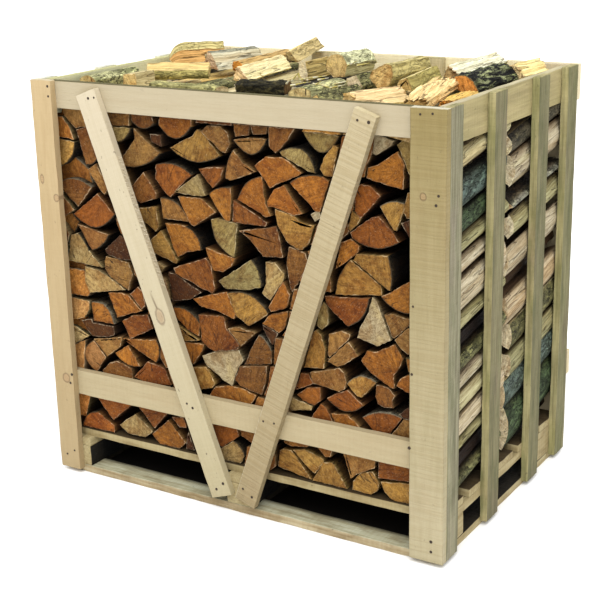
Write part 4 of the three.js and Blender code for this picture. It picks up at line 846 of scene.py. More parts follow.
# the front rank seen from the front: tone, bulge of the bark edge in mm, corners x and z in mm
logRows = [
    ("red", 14, -546, 129, -489, 182, -434, 150, -434, 129), ("orange", 0, -578, 284, -524, 282, -512, 235, -538, 157, -578, 158),
    ("red", 0, -508, 284, -367, 286, -368, 225, -432, 169, -483, 225), ("pale", 0, -417, 155, -357, 200, -301, 157, -330, 135, -390, 135),
    ("red", 0, -362, 286, -345, 225, -292, 170, -243, 225, -256, 284), ("orange", 0, -300, 153, -241, 206, -187, 150, -210, 128, -276, 128),
    ("pale", 0, -578, 426, -548, 423, -506, 403, -560, 369, -578, 366), ("tan", 0, -578, 362, -518, 389, -527, 308, -530, 290, -578, 290),
    ("brown", 38, -487, 298, -488, 394, -447, 351), ("tan", 0, -488, 397, -450, 404, -383, 421, -392, 391, -442, 353),
    ("orange", 14, -331, 342, -415, 368, -367, 398), ("brown", 0, -460, 312, -432, 338, -405, 347, -357, 333, -354, 300, -455, 298),
    ("red", 10, -226, 308, -351, 311, -302, 363, -245, 352), ("orange", 10, -268, 428, -275, 362, -330, 388, -381, 417),
    ("red", 0, -378, 467, -345, 487, -292, 497, -276, 461, -352, 421), ("orange", 0, -424, 539, -375, 546, -350, 541, -308, 506, -400, 472),
    ("red", 0, -347, 548, -318, 572, -300, 560, -298, 520, -309, 510), ("orange*", 24, -488, 504, -409, 452, -484, 450),
    ("dark", 0, -522, 448, -486, 456, -484, 446, -412, 445, -412, 420, -440, 410, -490, 407),
    ("tan", 0, -578, 508, -492, 505, -494, 482, -514, 455, -578, 441), ("orange", 0, -578, 590, -505, 590, -502, 560, -486, 535, -500, 518, -578, 516),
    ("pale", 0, -497, 604, -452, 600, -362, 556, -425, 544, -484, 533, -499, 565), ("pale", 4, -513, 696, -482, 650, -441, 606, -558, 614, -538, 688),
    ("brown", 8, -407, 703, -466, 653, -514, 720), ("red", 36, -385, 760, -528, 746, -438, 812),
    ("dark", 0, -421, 662, -366, 708, -340, 700, -336, 642, -380, 640, -415, 650),
    ("tan", 0, -431, 627, -422, 642, -392, 640, -345, 634, -333, 605, -352, 556, -410, 583, -430, 606),
    ("brown", 0, -578, 800, -562, 795, -522, 758, -558, 738, -578, 735), ("brown", 0, -578, 722, -558, 714, -543, 690, -550, 668, -578, 650),
    ("brown*", 22, -578, 822, -455, 827, -508, 769, -563, 814), ("yellow", 0, -300, 787, -241, 798, -236, 745, -248, 731, -300, 762),
    ("yellow", 0, -268, 705, -232, 736, -184, 661, -190, 651, -261, 671), ("pale", 0, -262, 640, -250, 648, -224, 638, -240, 619),
    ("orange", 0, -578, 1008, -540, 1010, -513, 975, -502, 951, -578, 957), ("tan", 0, -545, 1035, -470, 1040, -455, 990, -497, 981, -535, 1012),
    ("yellow", 16, -499, 945, -562, 874, -578, 870, -578, 950), ("brown", 6, -430, 905, -468, 887, -496, 978, -460, 988),
    ("tan", 0, -462, 875, -432, 893, -400, 830, -414, 811, -425, 822), ("tan", 0, -392, 1035, -315, 1035, -317, 1000, -380, 997),
    ("green", 38, -308, 996, -392, 996), ("brown", 16, -236, 1012, -306, 1013, -308, 1035, -240, 1035),
    ("tan", 14, -222, 936, -345, 893, -347, 915, -300, 968, -300, 996), ("brown", 0, -277, 885, -236, 833, -240, 818, -287, 802, -310, 812, -318, 845),
    ("dark", 0, -250, 985, -215, 985, -215, 955, -248, 965), ("red", 0, -230, 216, -192, 224, -180, 196, -203, 192),
    ("dark", 0, -178, 182, -160, 132, -188, 130, -184, 165), ("red", 0, -112, 282, -26, 280, -10, 206, -66, 163, -92, 170),
    ("pale", 6, -30, 188, 4, 152, -10, 128, -68, 128, -78, 152), ("yellow", 0, 106, 143, 112, 190, 125, 198, 149, 199, 207, 129, 190, 129),
    ("yellow", 0, 155, 202, 190, 212, 245, 196, 246, 188, 222, 152, 205, 160), ("yellow", 0, 240, 186, 272, 190, 300, 148, 312, 128, 210, 128, 226, 154),
    ("tan", 0, 286, 282, 396, 280, 393, 204, 345, 178, 326, 162), ("yellow", 0, 328, 152, 350, 180, 386, 192, 404, 165, 400, 145, 380, 128, 325, 128),
    ("red", 0, 405, 284, 500, 282, 500, 190, 405, 182), ("yellow", 0, 410, 172, 478, 181, 502, 181, 502, 128, 440, 128, 420, 146),
    ("orange", 0, -142, 563, -95, 578, -33, 597, -5, 545, -12, 528, -60, 541, -115, 545),
    ("yellow", 24, -28, 596, 92, 560, 88, 553, 35, 517, 0, 537, -8, 548), ("orange", 0, 92, 552, 105, 560, 150, 572, 140, 530, 122, 512, 75, 530),
    ("dark", 0, 75, 528, 120, 511, 105, 478, 97, 485, 78, 515), ("brown*", 6, 60, 497, 98, 460, 96, 425, 55, 415, 12, 408, 38, 460),
    ("tan", 0, -32, 500, 0, 508, 55, 502, 5, 457), ("red", 0, -125, 522, -45, 530, -38, 500, 2, 460, -2, 448, -75, 430, -98, 438, -118, 452),
    ("orange", 14, -208, 530, -124, 500, -128, 462, -165, 475, -205, 508), ("yellow", 0, -200, 488, -126, 452, -150, 446, -182, 440),
    ("orange", 0, -182, 438, -110, 444, -118, 425, -150, 380, -172, 395), ("yellow", 0, -160, 370, -106, 382, -88, 360, -80, 338, -90, 326, -145, 310),
    ("white", 0, -120, 410, -68, 432, -4, 446, 9, 418, -8, 395, -27, 342, -50, 352, -110, 388),
    ("brown", 0, 0, 402, 88, 420, 80, 372, 66, 335, -2, 348, -17, 362),
    ("orange", 0, -82, 330, -30, 342, 10, 342, 48, 330, 38, 312, 20, 290, -90, 290, -105, 300), ("tan", 20, -228, 822, -140, 768, -224, 767),
    ("orange", 0, -170, 832, -100, 834, -75, 818, -54, 803, -122, 760, -136, 768, -150, 795),
    ("orange", 13, -150, 756, -106, 697, -150, 688, -182, 670, -195, 692, -216, 757),
    ("red", 0, -195, 640, -92, 680, -76, 660, -68, 600, -78, 586, -190, 625), ("dark", 0, -218, 625, -195, 622, -112, 584, -150, 560, -208, 546),
    ("orange", 0, -92, 706, -55, 699, 0, 690, -12, 668, -38, 650, -68, 650, -84, 680), ("green", 20, -2, 692, -74, 782, -50, 787, 10, 780),
    ("brown", 0, 12, 762, 120, 784, 128, 760, 138, 708, 80, 704, 45, 742), ("green", 8, 52, 695, 76, 625, 30, 612, -38, 605, -58, 622),
    ("pale", 0, 86, 690, 112, 692, 142, 668, 138, 648, 100, 594, 76, 610, 88, 635), ("orange", 32, -120, 1012, -218, 1010, -215, 1032, -118, 1032),
    ("yellow", 26, -38, 945, -190, 955, -118, 990, -104, 1007, -90, 1005, -60, 970),
    ("tan", 0, -88, 1004, -68, 1020, -30, 1022, -8, 1005, -4, 980, -18, 955, -30, 958), ("tan", 38, 104, 1000, 6, 990, 50, 999),
    ("brown", 0, 8, 1030, 55, 1030, 50, 1004, 12, 998), ("brown", 0, 60, 1032, 108, 1030, 104, 1012, 66, 1008),
    ("tan", 6, -22, 892, 4, 966, 30, 935, 68, 916, 25, 898, -8, 888), ("red", 0, -102, 908, -60, 917, -26, 918, -36, 885, -60, 864, -78, 880),
    ("red", 14, -236, 908, -127, 890, -160, 862, -196, 826, -212, 838, -240, 870), ("pale", 0, -182, 842, -106, 894, -96, 880, -84, 842, -120, 838),
    ("orange", 6, -74, 848, -6, 872, -4, 850, -14, 785, -26, 784, -52, 812), ("red", 0, -2, 838, 50, 815, 96, 792, 90, 781, -8, 781),
    ("orange", 14, 12, 842, 86, 908, 90, 880, 96, 842, 112, 812, 98, 808), ("pale", 0, 148, 348, 170, 342, 216, 334, 212, 322, 145, 308),
    ("red", 0, 172, 357, 200, 380, 240, 388, 240, 352, 222, 338, 190, 344), ("red", 0, 182, 416, 205, 416, 218, 394, 200, 384, 166, 368),
    ("tan", 0, 213, 424, 296, 450, 311, 438, 317, 418, 312, 398, 296, 388, 222, 396),
    ("yellow", 0, 192, 432, 252, 440, 256, 490, 246, 528, 232, 538, 222, 530), ("tan", 0, 266, 532, 302, 546, 328, 540, 322, 526, 278, 482, 262, 464),
    ("tan", 0, 322, 522, 350, 490, 312, 462, 292, 453, 264, 462, 282, 482),
    ("orange", 0, 357, 478, 372, 506, 398, 508, 448, 535, 470, 502, 464, 484, 446, 458, 447, 424, 436, 424, 384, 452),
    ("yellow*", 18, 318, 414, 398, 430, 392, 422, 358, 384, 346, 386),
    ("brown", 0, 396, 422, 428, 422, 449, 404, 441, 390, 444, 372, 420, 369, 400, 374, 393, 392),
    ("orange", 0, 453, 432, 462, 450, 484, 464, 520, 470, 520, 422, 478, 420), ("red*", 14, 360, 333, 468, 352, 425, 292, 402, 292),
    ("tan", 0, 471, 348, 500, 350, 505, 300, 434, 296), ("dark", 0, 460, 360, 482, 380, 500, 384, 500, 352, 472, 350),
    ("red", 26, 362, 362, 256, 362, 288, 382, 318, 396, 340, 380), ("orange", 0, 270, 324, 318, 330, 372, 292, 284, 292),
    ("red", 0, 203, 290, 240, 345, 256, 334, 280, 290), ("orange", 0, 101, 846, 122, 878, 150, 892, 200, 826, 176, 820, 120, 834, 103, 834),
    ("yellow", 0, 176, 818, 196, 802, 232, 800, 214, 752, 195, 735, 178, 736, 150, 754, 128, 790, 121, 830),
    ("brown", 0, 156, 738, 205, 728, 215, 700, 165, 625, 158, 640, 148, 690),
    ("orange", 0, 143, 645, 160, 618, 152, 590, 145, 580, 103, 566, 95, 576, 118, 615, 140, 648),
    ("orange", 0, 306, 768, 332, 780, 353, 764, 350, 748, 318, 722, 288, 700), ("yellow", 6, 434, 752, 438, 667, 430, 668, 338, 728, 346, 744),
    ("yellow", 10, 288, 636, 328, 728, 408, 674, 412, 650), ("red", 14, 382, 640, 322, 560, 312, 566, 262, 606, 256, 628),
    ("white", 0, 386, 642, 399, 634, 438, 544, 402, 524, 382, 530, 347, 536, 354, 562, 378, 604),
    ("tan", 0, 418, 604, 440, 609, 500, 600, 484, 586, 446, 550, 438, 553), ("tan", 0, 450, 548, 484, 582, 520, 582, 520, 518, 482, 516, 462, 532),
    ("orange", 10, 486, 616, 412, 650, 440, 664, 486, 695, 530, 700, 530, 618), ("red", 20, 460, 786, 336, 782, 330, 795, 388, 838, 408, 843, 440, 812),
    ("green", 0, 252, 612, 263, 600, 264, 556, 246, 540, 232, 548, 238, 590),
    ("brown", 0, 112, 1030, 184, 1032, 165, 1002, 148, 984, 130, 968, 112, 984), ("green", 36, 140, 972, 238, 926, 215, 931, 180, 948, 146, 962),
    ("green", 46, 306, 1022, 205, 1026), ("yellow", 0, 252, 940, 262, 965, 290, 1000, 303, 995, 285, 925, 262, 925),
    ("orange", 0, 68, 932, 100, 957, 145, 958, 165, 950, 198, 924, 188, 917, 125, 890, 108, 879, 84, 910),
    ("orange", 10, 166, 900, 256, 922, 274, 912, 250, 836, 238, 836, 180, 886), ("white", 0, 220, 826, 245, 840, 250, 822, 234, 810),
    ("orange", 0, 376, 930, 380, 955, 404, 963, 456, 998, 474, 968, 472, 912, 420, 920),
    ("white", 0, 398, 1032, 446, 1022, 440, 1010, 400, 985, 392, 990), ("green", 0, 452, 1012, 470, 1030, 530, 1030, 530, 950, 486, 944, 470, 978),
    ("red", 0, 345, 905, 362, 915, 386, 911, 412, 890, 360, 832, 345, 850), ("yellow*", 8, 408, 866, 474, 880, 470, 856, 452, 812, 444, 812),
    ("yellow", 0, 474, 876, 482, 905, 540, 912, 540, 850, 480, 846, 472, 858), ("dark", 0, 462, 832, 484, 842, 530, 842, 530, 798, 488, 796),
    ("yellow", 0, 326, 806, 338, 848, 360, 832, 350, 816, 332, 800), ("guess", 0, -464, 1030, -400, 1030, -396, 1004, -450, 968),
    ("guess", 0, -442, 958, -398, 992, -388, 972, -368, 955, -352, 918, -352, 893, -425, 898),
    ("guess", 0, -422, 888, -340, 885, -322, 850, -318, 818, -330, 806, -396, 826),
    ("guess", 0, -396, 812, -330, 800, -305, 792, -304, 765, -335, 745, -376, 762),
    ("guess", 0, -382, 750, -340, 740, -290, 750, -274, 708, -338, 704, -364, 712),
    ("guess", 0, -334, 698, -274, 700, -266, 672, -268, 642, -300, 628, -332, 642),
    ("guess", 0, -326, 632, -270, 634, -244, 614, -222, 600, -214, 550, -296, 566, -328, 604), ("guess", 0, -294, 556, -214, 540, -212, 508, -288, 500),
    ("guess", 0, -286, 492, -208, 500, -188, 444, -258, 440, -272, 462), ("guess", 0, -254, 434, -190, 436, -176, 398, -164, 374, -238, 358, -256, 380),
    ("guess", 0, -236, 352, -166, 366, -150, 312, -158, 296, -216, 296, -220, 312),
    ("guess", 0, -248, 286, -140, 290, -118, 268, -108, 236, -150, 205, -186, 230, -236, 232),
    ("guess", 0, -172, 194, -150, 200, -100, 178, -82, 150, -74, 129, -152, 129), ("guess", 0, -14, 284, 84, 286, 110, 240, 100, 205, 30, 192, -4, 208),
    ("guess", 0, 12, 180, 96, 196, 100, 144, 84, 129, 2, 129, 10, 154), ("guess", 0, 118, 284, 196, 284, 222, 240, 196, 218, 152, 210, 126, 214),
    ("guess", 0, 206, 284, 280, 282, 276, 250, 268, 206, 250, 202, 226, 228),
    ("guess", 0, 312, 1022, 394, 1030, 388, 988, 374, 958, 370, 932, 292, 924, 306, 990), ("guess", 0, 280, 914, 340, 910, 342, 852, 324, 838, 256, 832),
    ("guess", 0, 254, 824, 320, 828, 326, 796, 302, 768, 294, 738, 220, 752, 238, 800),
    ("guess", 0, 214, 736, 284, 730, 276, 690, 276, 640, 196, 636, 186, 660, 220, 700),
    ("guess", 0, 172, 634, 250, 630, 240, 608, 232, 588, 226, 562, 156, 580, 166, 614),
    ("guess", 0, 154, 572, 228, 558, 224, 542, 216, 520, 206, 492, 130, 505, 146, 530),
    ("guess", 0, 112, 498, 206, 488, 188, 436, 178, 420, 104, 424, 106, 462),
    ("guess", 0, 94, 418, 174, 414, 162, 370, 146, 352, 142, 320, 72, 336, 86, 372),
    ("guess", 0, 54, 328, 136, 316, 150, 300, 196, 294, 110, 288, 34, 290), ("pale", 0, 536, 1008, 577, 1008, 577, 958, 536, 950),
    ("barkBlue", 0, 546, 940, 575, 934, 577, 872, 548, 868), ("barkGreen", 0, 538, 860, 575, 858, 578, 812, 538, 800),
    ("pale", 0, 490, 788, 577, 800, 577, 758, 494, 750), ("pale", 0, 500, 742, 577, 750, 577, 706, 538, 708, 492, 702),
    ("brown", 0, 538, 696, 577, 694, 577, 622, 538, 622), ("green", 0, 508, 611, 577, 611, 577, 566, 528, 562, 528, 588, 494, 590),
    ("dark", 0, 527, 554, 556, 548, 558, 520, 527, 516), ("barkOlive", 0, 478, 508, 577, 506, 577, 468, 528, 476, 486, 472),
    ("pale", 0, 528, 460, 577, 458, 577, 414, 528, 418), ("green", 0, 490, 412, 577, 406, 577, 360, 508, 354, 508, 388, 488, 396),
    ("pale", 0, 508, 344, 577, 350, 577, 300, 514, 300), ("tan", 0, 510, 291, 577, 291, 577, 262, 508, 250),
    ("dark", 0, 508, 240, 560, 238, 560, 204, 508, 190), ("barkOlive", 0, 508, 184, 577, 194, 577, 158, 510, 130),
]
frontTopRows = [
    ("green", 8, -550, 1036, -540, 1064, -470, 1068, -452, 1036), ("pale", 0, -446, 1034, -436, 1062, -352, 1070, -330, 1034),
    ("barkOlive", 10, -318, 1064, -240, 1068, -226, 1034, -322, 1034), ("white", 0, -216, 1034, -206, 1062, -130, 1070, -112, 1034),
    # the two dark logs in the middle are painted shade in the hollow under the loose logs
    ("dark", 6, -92, 1050, -6, 1054, 2, 1024, -104, 1024), ("dark", 0, 10, 1030, 20, 1044, 96, 1045, 104, 1032),
    ("barkOlive:pale", 0, 112, 1032, 130, 1044, 180, 1045, 196, 1032), ("yellow", 0, 206, 1026, 226, 1050, 296, 1050, 306, 1024),
    ("pale", 0, 314, 1026, 330, 1050, 390, 1050, 398, 1032), ("pale", 0, 404, 1032, 420, 1046, 500, 1048, 552, 1030),
]
backTopRows = [
    ("pale", 0, -552, 1030, -548, 1070, -500, 1078, -486, 1030), ("barkPlain", 14, -484, 1062, -452, 1066, -440, 1032, -480, 1032),
    ("yellow", 0, -434, 1030, -430, 1062, -330, 1062, -312, 1030), ("barkOlive", 10, -296, 1066, -240, 1068, -222, 1030, -304, 1030),
    # the dark-barked log and the dark log in the middle are painted shade in the hollow under the loose logs
    ("pale", 0, -214, 1030, -206, 1068, -120, 1070, -104, 1030), ("barkDark", 8, -88, 1056, -20, 1060, -6, 1016, -96, 1024),
    ("dark", 0, 0, 1024, 8, 1062, 86, 1062, 96, 1024), ("pale", 0, 166, 1026, 172, 1060, 240, 1062, 256, 1026),
    ("barkOlive", 6, 276, 1060, 360, 1064, 372, 1026, 266, 1026), ("yellow", 0, 380, 1030, 390, 1058, 480, 1058, 552, 1034),
]
# short logs on the rim of a rank: start and length along Y, then as above
rimRows = {
    "front": [(-285, 195, "barkMoss:pale", 12, -540, 1098, -484, 1096, -490, 1066, -534, 1066),
              (-228, 80, "pale", 0, -440, 1064, -436, 1108, -396, 1112, -388, 1064),
              (-190, 184, "barkMoss:pale", 10, 58, 1084, 122, 1092, 128, 1040, 60, 1040),
              (-260, 200, "barkOlive:pale", 0, 146, 1040, 144, 1078, 182, 1096, 210, 1072, 206, 1040)],
    "back": [(160, 205, "yellow", 0, -128, 1060, -126, 1106, -106, 1110, -96, 1060),
             (20, 250, "barkOlive:pale", 0, 98, 1024, 106, 1094, 134, 1104, 152, 1076, 146, 1024)],
}
# logs deeper in the gaps at the left of the front rank: start, then as above
deepRows = [
    (-346, "barkLight", 6, -578, 872, -516, 900, -474, 872, -466, 838, -470, 824, -578, 820),
    (-344, "barkPlain", 0, -558, 1036, -540, 1036, -530, 1012, -578, 996, -578, 1015, -558, 1015),
    (-350, "barkPlain", 0, -578, 740, -545, 748, -520, 722, -540, 690, -560, 706, -578, 714),
    (-350, "brown", 0, -578, 586, -578, 625, -554, 636, -540, 608, -506, 606, -500, 586),
    (-350, "barkGreen", 0, -578, 420, -578, 446, -520, 458, -500, 440, -510, 406, -545, 418),
    (-350, "dark", 0, -578, 127, -578, 162, -546, 165, -536, 142, -544, 127),
]
# the ranks; the factors at the end paint light onto the logs: paler cut ends at the left of the front, lighter logs at
# the rim
rank = {"front": -368, "middle": 0.1, "back": 368, "setBacks": (0, 3, 1, 5, 1, 2, 6, 1, 4, 2, 5, 0, 3, 4),
        "steps": (0.003, 0.012, 0.025, 0.04, 0.04, 0.05, 0.05, 0.05, 0.04, 0.05), "insets": (0.0016, 0.0045), "spacing": 9.0, "endWaver": 0.0007, "rimPaintedLight": 1.4,
        "light": ((-560, -480, -400, -275, 75, 225, 350, 500), (1.1, 1.03, 1.01, 0.9, 0.9, 0.97, 0.95, 0.89)), "lowLeftPaintedLight": 0.14}


def cornersOf(numbers, mirror=1):
    return [(mirror * x, z) for x, z in zip(numbers[::2], numbers[1::2])]


def makeRank(side, topRows):
    wild = random.Random(5)
    mirror = 1 if side == "front" else -1
    backs = rank["setBacks"]
    logs = []
    for number, (tone, bulge, *numbers) in enumerate(logRows + topRows):
        flip = mirror if number < len(logRows) else 1
        if side == "front":
            start, end = rank["front"] + backs[number % 14], -rank["middle"]
        else:
            start, end = rank["back"] - backs[(number + 7) % 14], rank["middle"]
        logs.append(prepareLog(tone, bulge, cornersOf(numbers, flip), start, end, wild, rank["spacing"]))
    for start, tone, bulge, *numbers in deepRows if side == "front" else ():
        logs.append(prepareLog(tone, bulge, cornersOf(numbers), start, -rank["middle"], wild, rank["spacing"]))
    for start, length, tone, bulge, *numbers in rimRows[side]:
        ends = (start, start + length) if side == "front" else (start + length, start)
        logs.append(prepareLog(tone, bulge, cornersOf(numbers), *ends, wild, rank["spacing"]))
    if side == "front":  # painted light: the cut ends are paler at the left, most of all low down, and darker towards the middle and the right
        for log in logs[:len(logRows)]:
            x, z = log["pith"].x, log["pith"].y
            light = np.interp(x, *rank["light"]) + (rank["lowLeftPaintedLight"] * float(np.clip((520 - z) / 60, 0, 1)) if x < -505 else 0)
            log["endTone"] = log["endTone"] * light ** 2.2 + max(light - 1, 0) * np.array((0.3, 0.3, 0.25))
    for log in logs[len(logRows):]:  # painted light: the logs that reach the rim get lifted tones
        for key in ("endTone", "sideTone", "barkTone"):
            log[key] = log[key] * (1.0 if max(point.y for point in log["points"]) < 1040 else rank["rimPaintedLight"])
    piece = growLogs("logs_" + side, logs, rank["steps"], rank["insets"], False)
    dressLogs(piece, logs, sum(rank["steps"]), False, rank["endWaver"])
    takeOnly(piece)
    editMode()
    bpy.ops.mesh.select_all(action="SELECT")
    bpy.ops.mesh.normals_make_consistent(inside=False)
    objectMode()
    roughen(piece, 0.03, 0.0024)
    bpy.ops.object.shade_smooth_by_angle(angle=math.radians(38))
    finishPiece(piece, ["stack_" + side])
    print("rank made:", side, len(logs), "logs,", len(piece.data.polygons), "faces")


makeRank("front", frontTopRows)
makeRank("back", backTopRows)

# loose logs on top: middle of the front end, turn and tilt in degrees, length, outline as the ends of the ranks
looseLogs = {
    "half_round": {"at": (-530, 103, 1120), "turn": 52, "tilt": 0, "length": 157, "outline": (24, -34, -24, 8, 33, 30, 14, 36, -22),
        "bark": {0, 1}, "barkTone": (208, 192, 132), "end": (238, 226, 164), "side": (226, 182, 118), "ridge": 0.0015, "barkRough": 0.001, "calm": 1.0,
        "rounded": 0.05},
    "bark_left": {"at": (-438, -123, 1104), "turn": 56, "tilt": -0.7, "length": 169, "outline": (6, 26, 3, 22, -21, -22, -20, -26, 18),
        "bark": {0}, "barkTone": (176, 166, 104), "end": (226, 212, 154), "side": (222, 200, 140), "ridge": 0.002, "barkRough": 0.003, "calm": 0.4},
    "striped": {"at": (-372, 80, 1110), "turn": 10, "tilt": -1.2, "length": 197, "outline": (0, -28, -20, -8, 26, 8, 20, 30, -24),
        "bark": {1}, "barkTone": (150, 148, 130), "end": (232, 208, 176), "side": (222, 216, 190), "ridge": 0.005, "barkRough": 0.003, "calm": 0.6},
    "thin": {"at": (-291, 96, 1098), "turn": 0, "tilt": 0.9, "length": 256, "outline": (0, -16, -14, -16, 10, 4, 14, 16, 2, 12, -14),
        "bark": set(), "end": (226, 160, 70), "side": (204, 170, 112), "ridge": 0.003},
    "split_wide": {"at": (-187, -43, 1096), "turn": -5, "tilt": 0.7, "length": 257, "outline": (0, -24, -16, -10, 20, 0, 18, 26, -14, 16, -20),
        "bark": set(), "end": (238, 214, 172), "side": (232, 224, 182), "ridge": 0.005},
    "upright": {"at": (-186, 224, 1110), "turn": 0, "tilt": 9.8, "length": 153, "outline": (0, -22, -14, -20, 16, -10, 18, 16, -12),
        "bark": {2}, "barkTone": (212, 188, 132), "end": (168, 152, 108), "side": (228, 212, 160), "ridge": 0.003, "barkRough": 0.002, "calm": 0.8},
    "bark_dark": {"at": (29, -146, 1090), "turn": -93, "tilt": -0.8, "length": 143, "outline": (8, -24, 4, 24, 8, 22, -18, -22, -18),
        "bark": {0, 1, 2, 3}, "barkTone": (62, 56, 36), "end": (120, 96, 60), "side": (120, 100, 70), "ridge": 0.003, "barkRough": 0.011, "calm": -0.7},
    "blunt": {"at": (1, 146, 1106), "turn": 2, "tilt": -0.7, "length": 157, "outline": (10, -30, 18, 22, 26, 36, 4, 26, -28, -8, -32, -36, -10),
        "bark": {0, 1}, "barkTone": (226, 226, 184), "end": (232, 206, 142), "side": (214, 206, 152), "ridge": 0.004, "barkRough": 0.007, "calm": 0.3},
    "block": {"at": (217, 7, 1108), "turn": 4, "tilt": 0, "length": 193, "outline": (0, -40, -8, -30, 12, 8, 30, 28, 28, 34, 0, 16, -32, -16, -34),
        "bark": {1, 2, 3, 4}, "barkTone": (186, 176, 122), "end": (236, 210, 146), "side": (220, 204, 146), "ridge": 0.002, "barkRough": 0.002, "calm": 0.9},
    "yellow": {"at": (290, -11, 1094), "turn": -3, "tilt": 2.4, "length": 193, "outline": (0, -20, -14, -14, 8, 8, 16, 24, -20),
        "bark": {2}, "barkTone": (182, 170, 104), "end": (232, 210, 142), "side": (236, 222, 166), "ridge": 0.003, "barkRough": 0.002, "calm": 0.9},
    "flat_face": {"at": (270, -242, 1088), "turn": 18, "tilt": -0.7, "length": 166, "outline": (0, 30, -18, -28, -18, -28, 10, -6, 16),
        "bark": set(), "end": (236, 212, 152), "side": (232, 208, 162), "ridge": 0.003, "jag": 0.006},
    "splintered": {"at": (439, -229, 1085), "turn": -7, "tilt": 5, "length": 216, "outline": (0, -40, -10, -32, 14, -8, 8, 6, 18, 22, 6, 24, -14),
        "bark": set(), "end": (230, 202, 134), "side": (234, 210, 158), "ridge": 0.011, "jag": 0.012},
    "bark_thick": {"at": (451, -3, 1097), "turn": 5, "tilt": 1.6, "length": 212, "outline": (18, -34, 20, 40, -10, 28, -32, -28, -8),
        "bark": {0, 1}, "barkTone": (104, 106, 80), "end": (226, 160, 82), "side": (222, 180, 120), "ridge": 0.003, "barkRough": 0.011, "calm": -1.0},
    "white_split": {"at": (373, 99, 1112), "turn": 6, "tilt": 1.9, "length": 244, "outline": (0, -30, -14, -16, 18, 22, -6, 14, -26),
        "bark": {2}, "barkTone": (186, 186, 134), "end": (190, 168, 120), "side": (244, 240, 212), "ridge": 0.003, "barkRough": 0.001, "jag": 0.006, "calm": 0.9},
    "wedge": {"at": (493, 210, 1104), "turn": 13, "tilt": 2.2, "length": 105, "outline": (0, -34, -20, -22, 14, 2, 24, 32, -6, 28, -24),
        "bark": set(), "end": (238, 218, 166), "side": (234, 218, 158), "ridge": 0.004, "jag": 0.006},
    "orange_low": {"at": (485, -159, 1080), "turn": -5, "tilt": 1.2, "length": 142, "outline": (4, -22, 4, 32, 0, 30, -16, -28, -16),
        "bark": {1, 2}, "barkTone": (70, 56, 38), "end": (230, 170, 80), "side": (238, 196, 110), "ridge": 0.005, "barkRough": 0.005, "jag": 0.006},
    "rim_bark": {"at": (-282, -292, 1096), "turn": 92, "tilt": 0, "length": 215, "outline": (6, -26, 4, 24, 8, 26, -14, -24, -14),
        "bark": {0, 1, 3}, "barkTone": (184, 174, 116), "end": (240, 228, 184), "side": (206, 184, 112), "ridge": 0.002, "barkRough": 0.004, "calm": 0.3},
}
# lift is a painted light on the loose logs
looseShape = {"lift": 1.4, "spacing": 4.5, "waver": 0.5, "step": 0.008, "insets": (0.0015, 0.005), "ridgeGrit": 0.006, "ridgeStretch": 16, "barkGrit": 0.014}


def makeLooseLog(name, log):
    wild = random.Random(name)
    bulge, *numbers = log["outline"]
    shape = prepareLog("tan", bulge, cornersOf(numbers), 0, log["length"], wild, looseShape["spacing"], looseShape["waver"], log["bark"],
                       log.get("barkTone"), log["side"])
    shape["endTone"], shape["calm"] = vary(log["end"], wild, 0.03), log.get("calm", 0.0)
    # painted light: the tones of the loose logs on top are lifted
    for key in ("endTone", "sideTone", "barkTone"):
        shape[key] = shape[key] * looseShape["lift"]
    count = round(log["length"] / 1000 / looseShape["step"])
    steps = [0.003] + [(log["length"] / 1000 - 0.006) / count] * count + [0.003]
    piece = growLogs("top_" + name, [shape], steps, looseShape["insets"], True)
    dressLogs(piece, [shape], sum(steps), True, log.get("jag", 0.0012))
    mesh = piece.data
    if "rounded" in log:  # the upper edge of the front end is rounded off
        placed = coordsOf(mesh)
        reach = np.clip(1 - placed[:, 1] / log["rounded"], 0, 1)
        low, high = placed[:, 2].min(), placed[:, 2].max()
        placed[:, 2] = low + (placed[:, 2] - low) * (1 - 0.8 * (1 - np.sqrt(1 - reach ** 2 * 0.98)))
        putCoords(mesh, placed)
    kinds = [face.material_index for face in mesh.polygons]
    for label, kind in (("split", 1), ("bark", 2)):
        group = piece.vertex_groups.new(name=label)
        chosen = {k for face, made in zip(mesh.polygons, kinds) if made == kind for k in face.vertices}
        other = {k for face, made in zip(mesh.polygons, kinds) if made != kind for k in face.vertices}
        group.add(sorted(chosen - other), 1.0, "REPLACE")
        group.add(sorted(chosen & other), 0.35, "REPLACE")
    roughen(piece, 0.05, 0.006)
    roughen(piece, looseShape["ridgeGrit"], log["ridge"], stretch=looseShape["ridgeStretch"], group="split", direction="NORMAL")
    if log["bark"]:
        roughen(piece, looseShape["barkGrit"], log["barkRough"], stretch=2.2, group="bark", direction="NORMAL")
        roughen(piece, looseShape["barkGrit"] * 0.35, log["barkRough"] * 0.6, stretch=1.6, group="bark", direction="NORMAL")
    piece.vertex_groups.clear()
    turned = Matrix.Rotation(math.radians(-log["turn"]), 4, "Z") @ Matrix.Rotation(math.radians(log["tilt"]), 4, "X")
    piece.matrix_world = Matrix.Translation(Vector(log["at"]) / 1000) @ turned
    bpy.ops.object.shade_smooth_by_angle(angle=math.radians(40))
    finishPiece(piece, ["log_" + name])


for name, log in looseLogs.items():
    makeLooseLog(name, log)
print("loose logs made:", len(looseLogs))

# splinters between the logs on top: both ends of each in mm
splinters = {"thick": 0.0028, "tone": (252, 246, 214), "shade": (214, 196, 104), "places": [
    (58, -171, 1110, 76, -171, 1131), (-6, -39, 1110, 2, -39, 1084), (101, -246, 1110, 136, -246, 1119), (102, -190, 1110, 125, -190, 1114),
    (134, -196, 1110, 160, -196, 1109), (163, -202, 1110, 186, -202, 1104), (207, -237, 1110, 248, -237, 1120), (72, -108, 1110, 122, -108, 1118),
    (149, -207, 1110, 164, -207, 1121), (184, -175, 1110, 227, -175, 1120), (67, -148, 1110, 102, -148, 1119), (-13, 197, 1110, 19, 197, 1125),
    (45, 130, 1110, 76, 130, 1125), (70, 140, 1110, 110, 140, 1120), (72, -221, 1110, 86, -221, 1123), (109, -131, 1110, 141, -131, 1117)]}


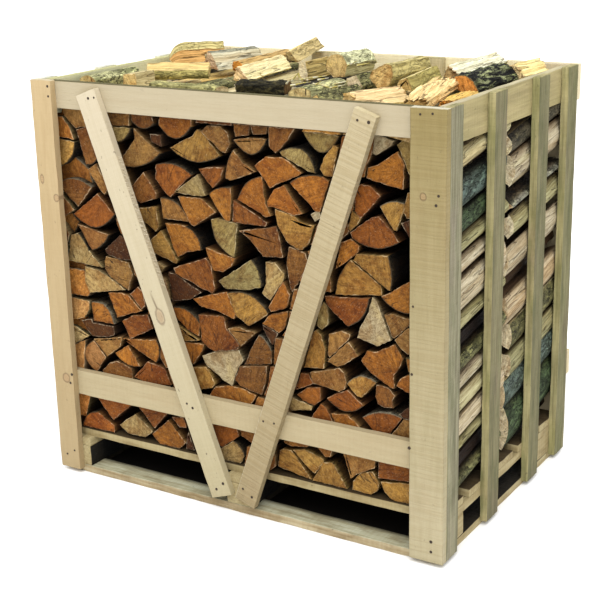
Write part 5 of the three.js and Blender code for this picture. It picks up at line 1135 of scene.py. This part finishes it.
def makeSplinters():
    piece = None
    for x, y, z, farX, farY, farZ in splinters["places"]:
        root, tip = Vector((x, y, z)) / 1000, Vector((farX, farY, farZ)) / 1000
        piece = makeSliver(root, tip, splinters["thick"] * chance.uniform(0.7, 1.4), piece, "splinters")
    pale = Finish("splinterWood")
    spots = pale.noise(pale.node("TexCoord").outputs["Object"], 60.0, 3.0)
    pale.feed(pale.surface.inputs["Base Color"], pale.mix(pale.ease(spots, 0.4, 0.6), paint(*splinters["shade"]), paint(*splinters["tone"])))
    pale.surface.inputs["Roughness"].default_value = 0.8
    piece.data.materials.clear()
    piece.data.materials.append(pale.material)
    finishPiece(piece)


makeSplinters()
print("splinters made")

# floor, light and the last words
studio = {"sky": 1.06, "sun": 2.3, "softness": 45, "sunFrom": (0.30, -0.62, 1.0), "floor": (250, 250, 250), "shadeUnderCrate": (26, 24, 22)}


def makeStudio():
    bpy.ops.object.select_all(action="DESELECT")
    bpy.ops.mesh.primitive_plane_add(size=80)
    floor = bpy.context.object
    floor.name = "floor"
    pale = Finish("paleFloor")
    # painted shade: the ground under the crate is coloured dark
    x, y, z = pale.parts(pale.node("TexCoord").outputs["Object"])[:]
    reach = pale.calc("MAXIMUM", pale.calc("SUBTRACT", pale.calc("ABSOLUTE", x), 0.57), pale.calc("SUBTRACT", pale.calc("ABSOLUTE", y), 0.385))
    colour = pale.mix(pale.ease(reach, -0.05, 0.015), light(*studio["shadeUnderCrate"]), light(*studio["floor"]))
    pale.feed(pale.surface.inputs["Base Color"], colour)
    pale.surface.inputs["Roughness"].default_value = 0.95
    pale.surface.inputs["Specular IOR Level"].default_value = 0.0
    floor.data.materials.append(pale.material)
    world = bpy.data.worlds.new("studio")
    bpy.context.scene.world = world
    world.use_nodes = True
    world.node_tree.nodes["Background"].inputs["Color"].default_value = (1, 1, 1, 1)
    world.node_tree.nodes["Background"].inputs["Strength"].default_value = studio["sky"]
    bpy.ops.object.light_add(type="SUN", location=(0, 0, 3))
    sun = bpy.context.object
    sun.name = "sun"
    sun.data.energy, sun.data.angle = studio["sun"], math.radians(studio["softness"])
    sun.rotation_euler = Vector(studio["sunFrom"]).to_track_quat("Z", "Y").to_euler()
    bpy.context.scene.view_settings.view_transform = "Standard"


makeStudio()
print("studio made")
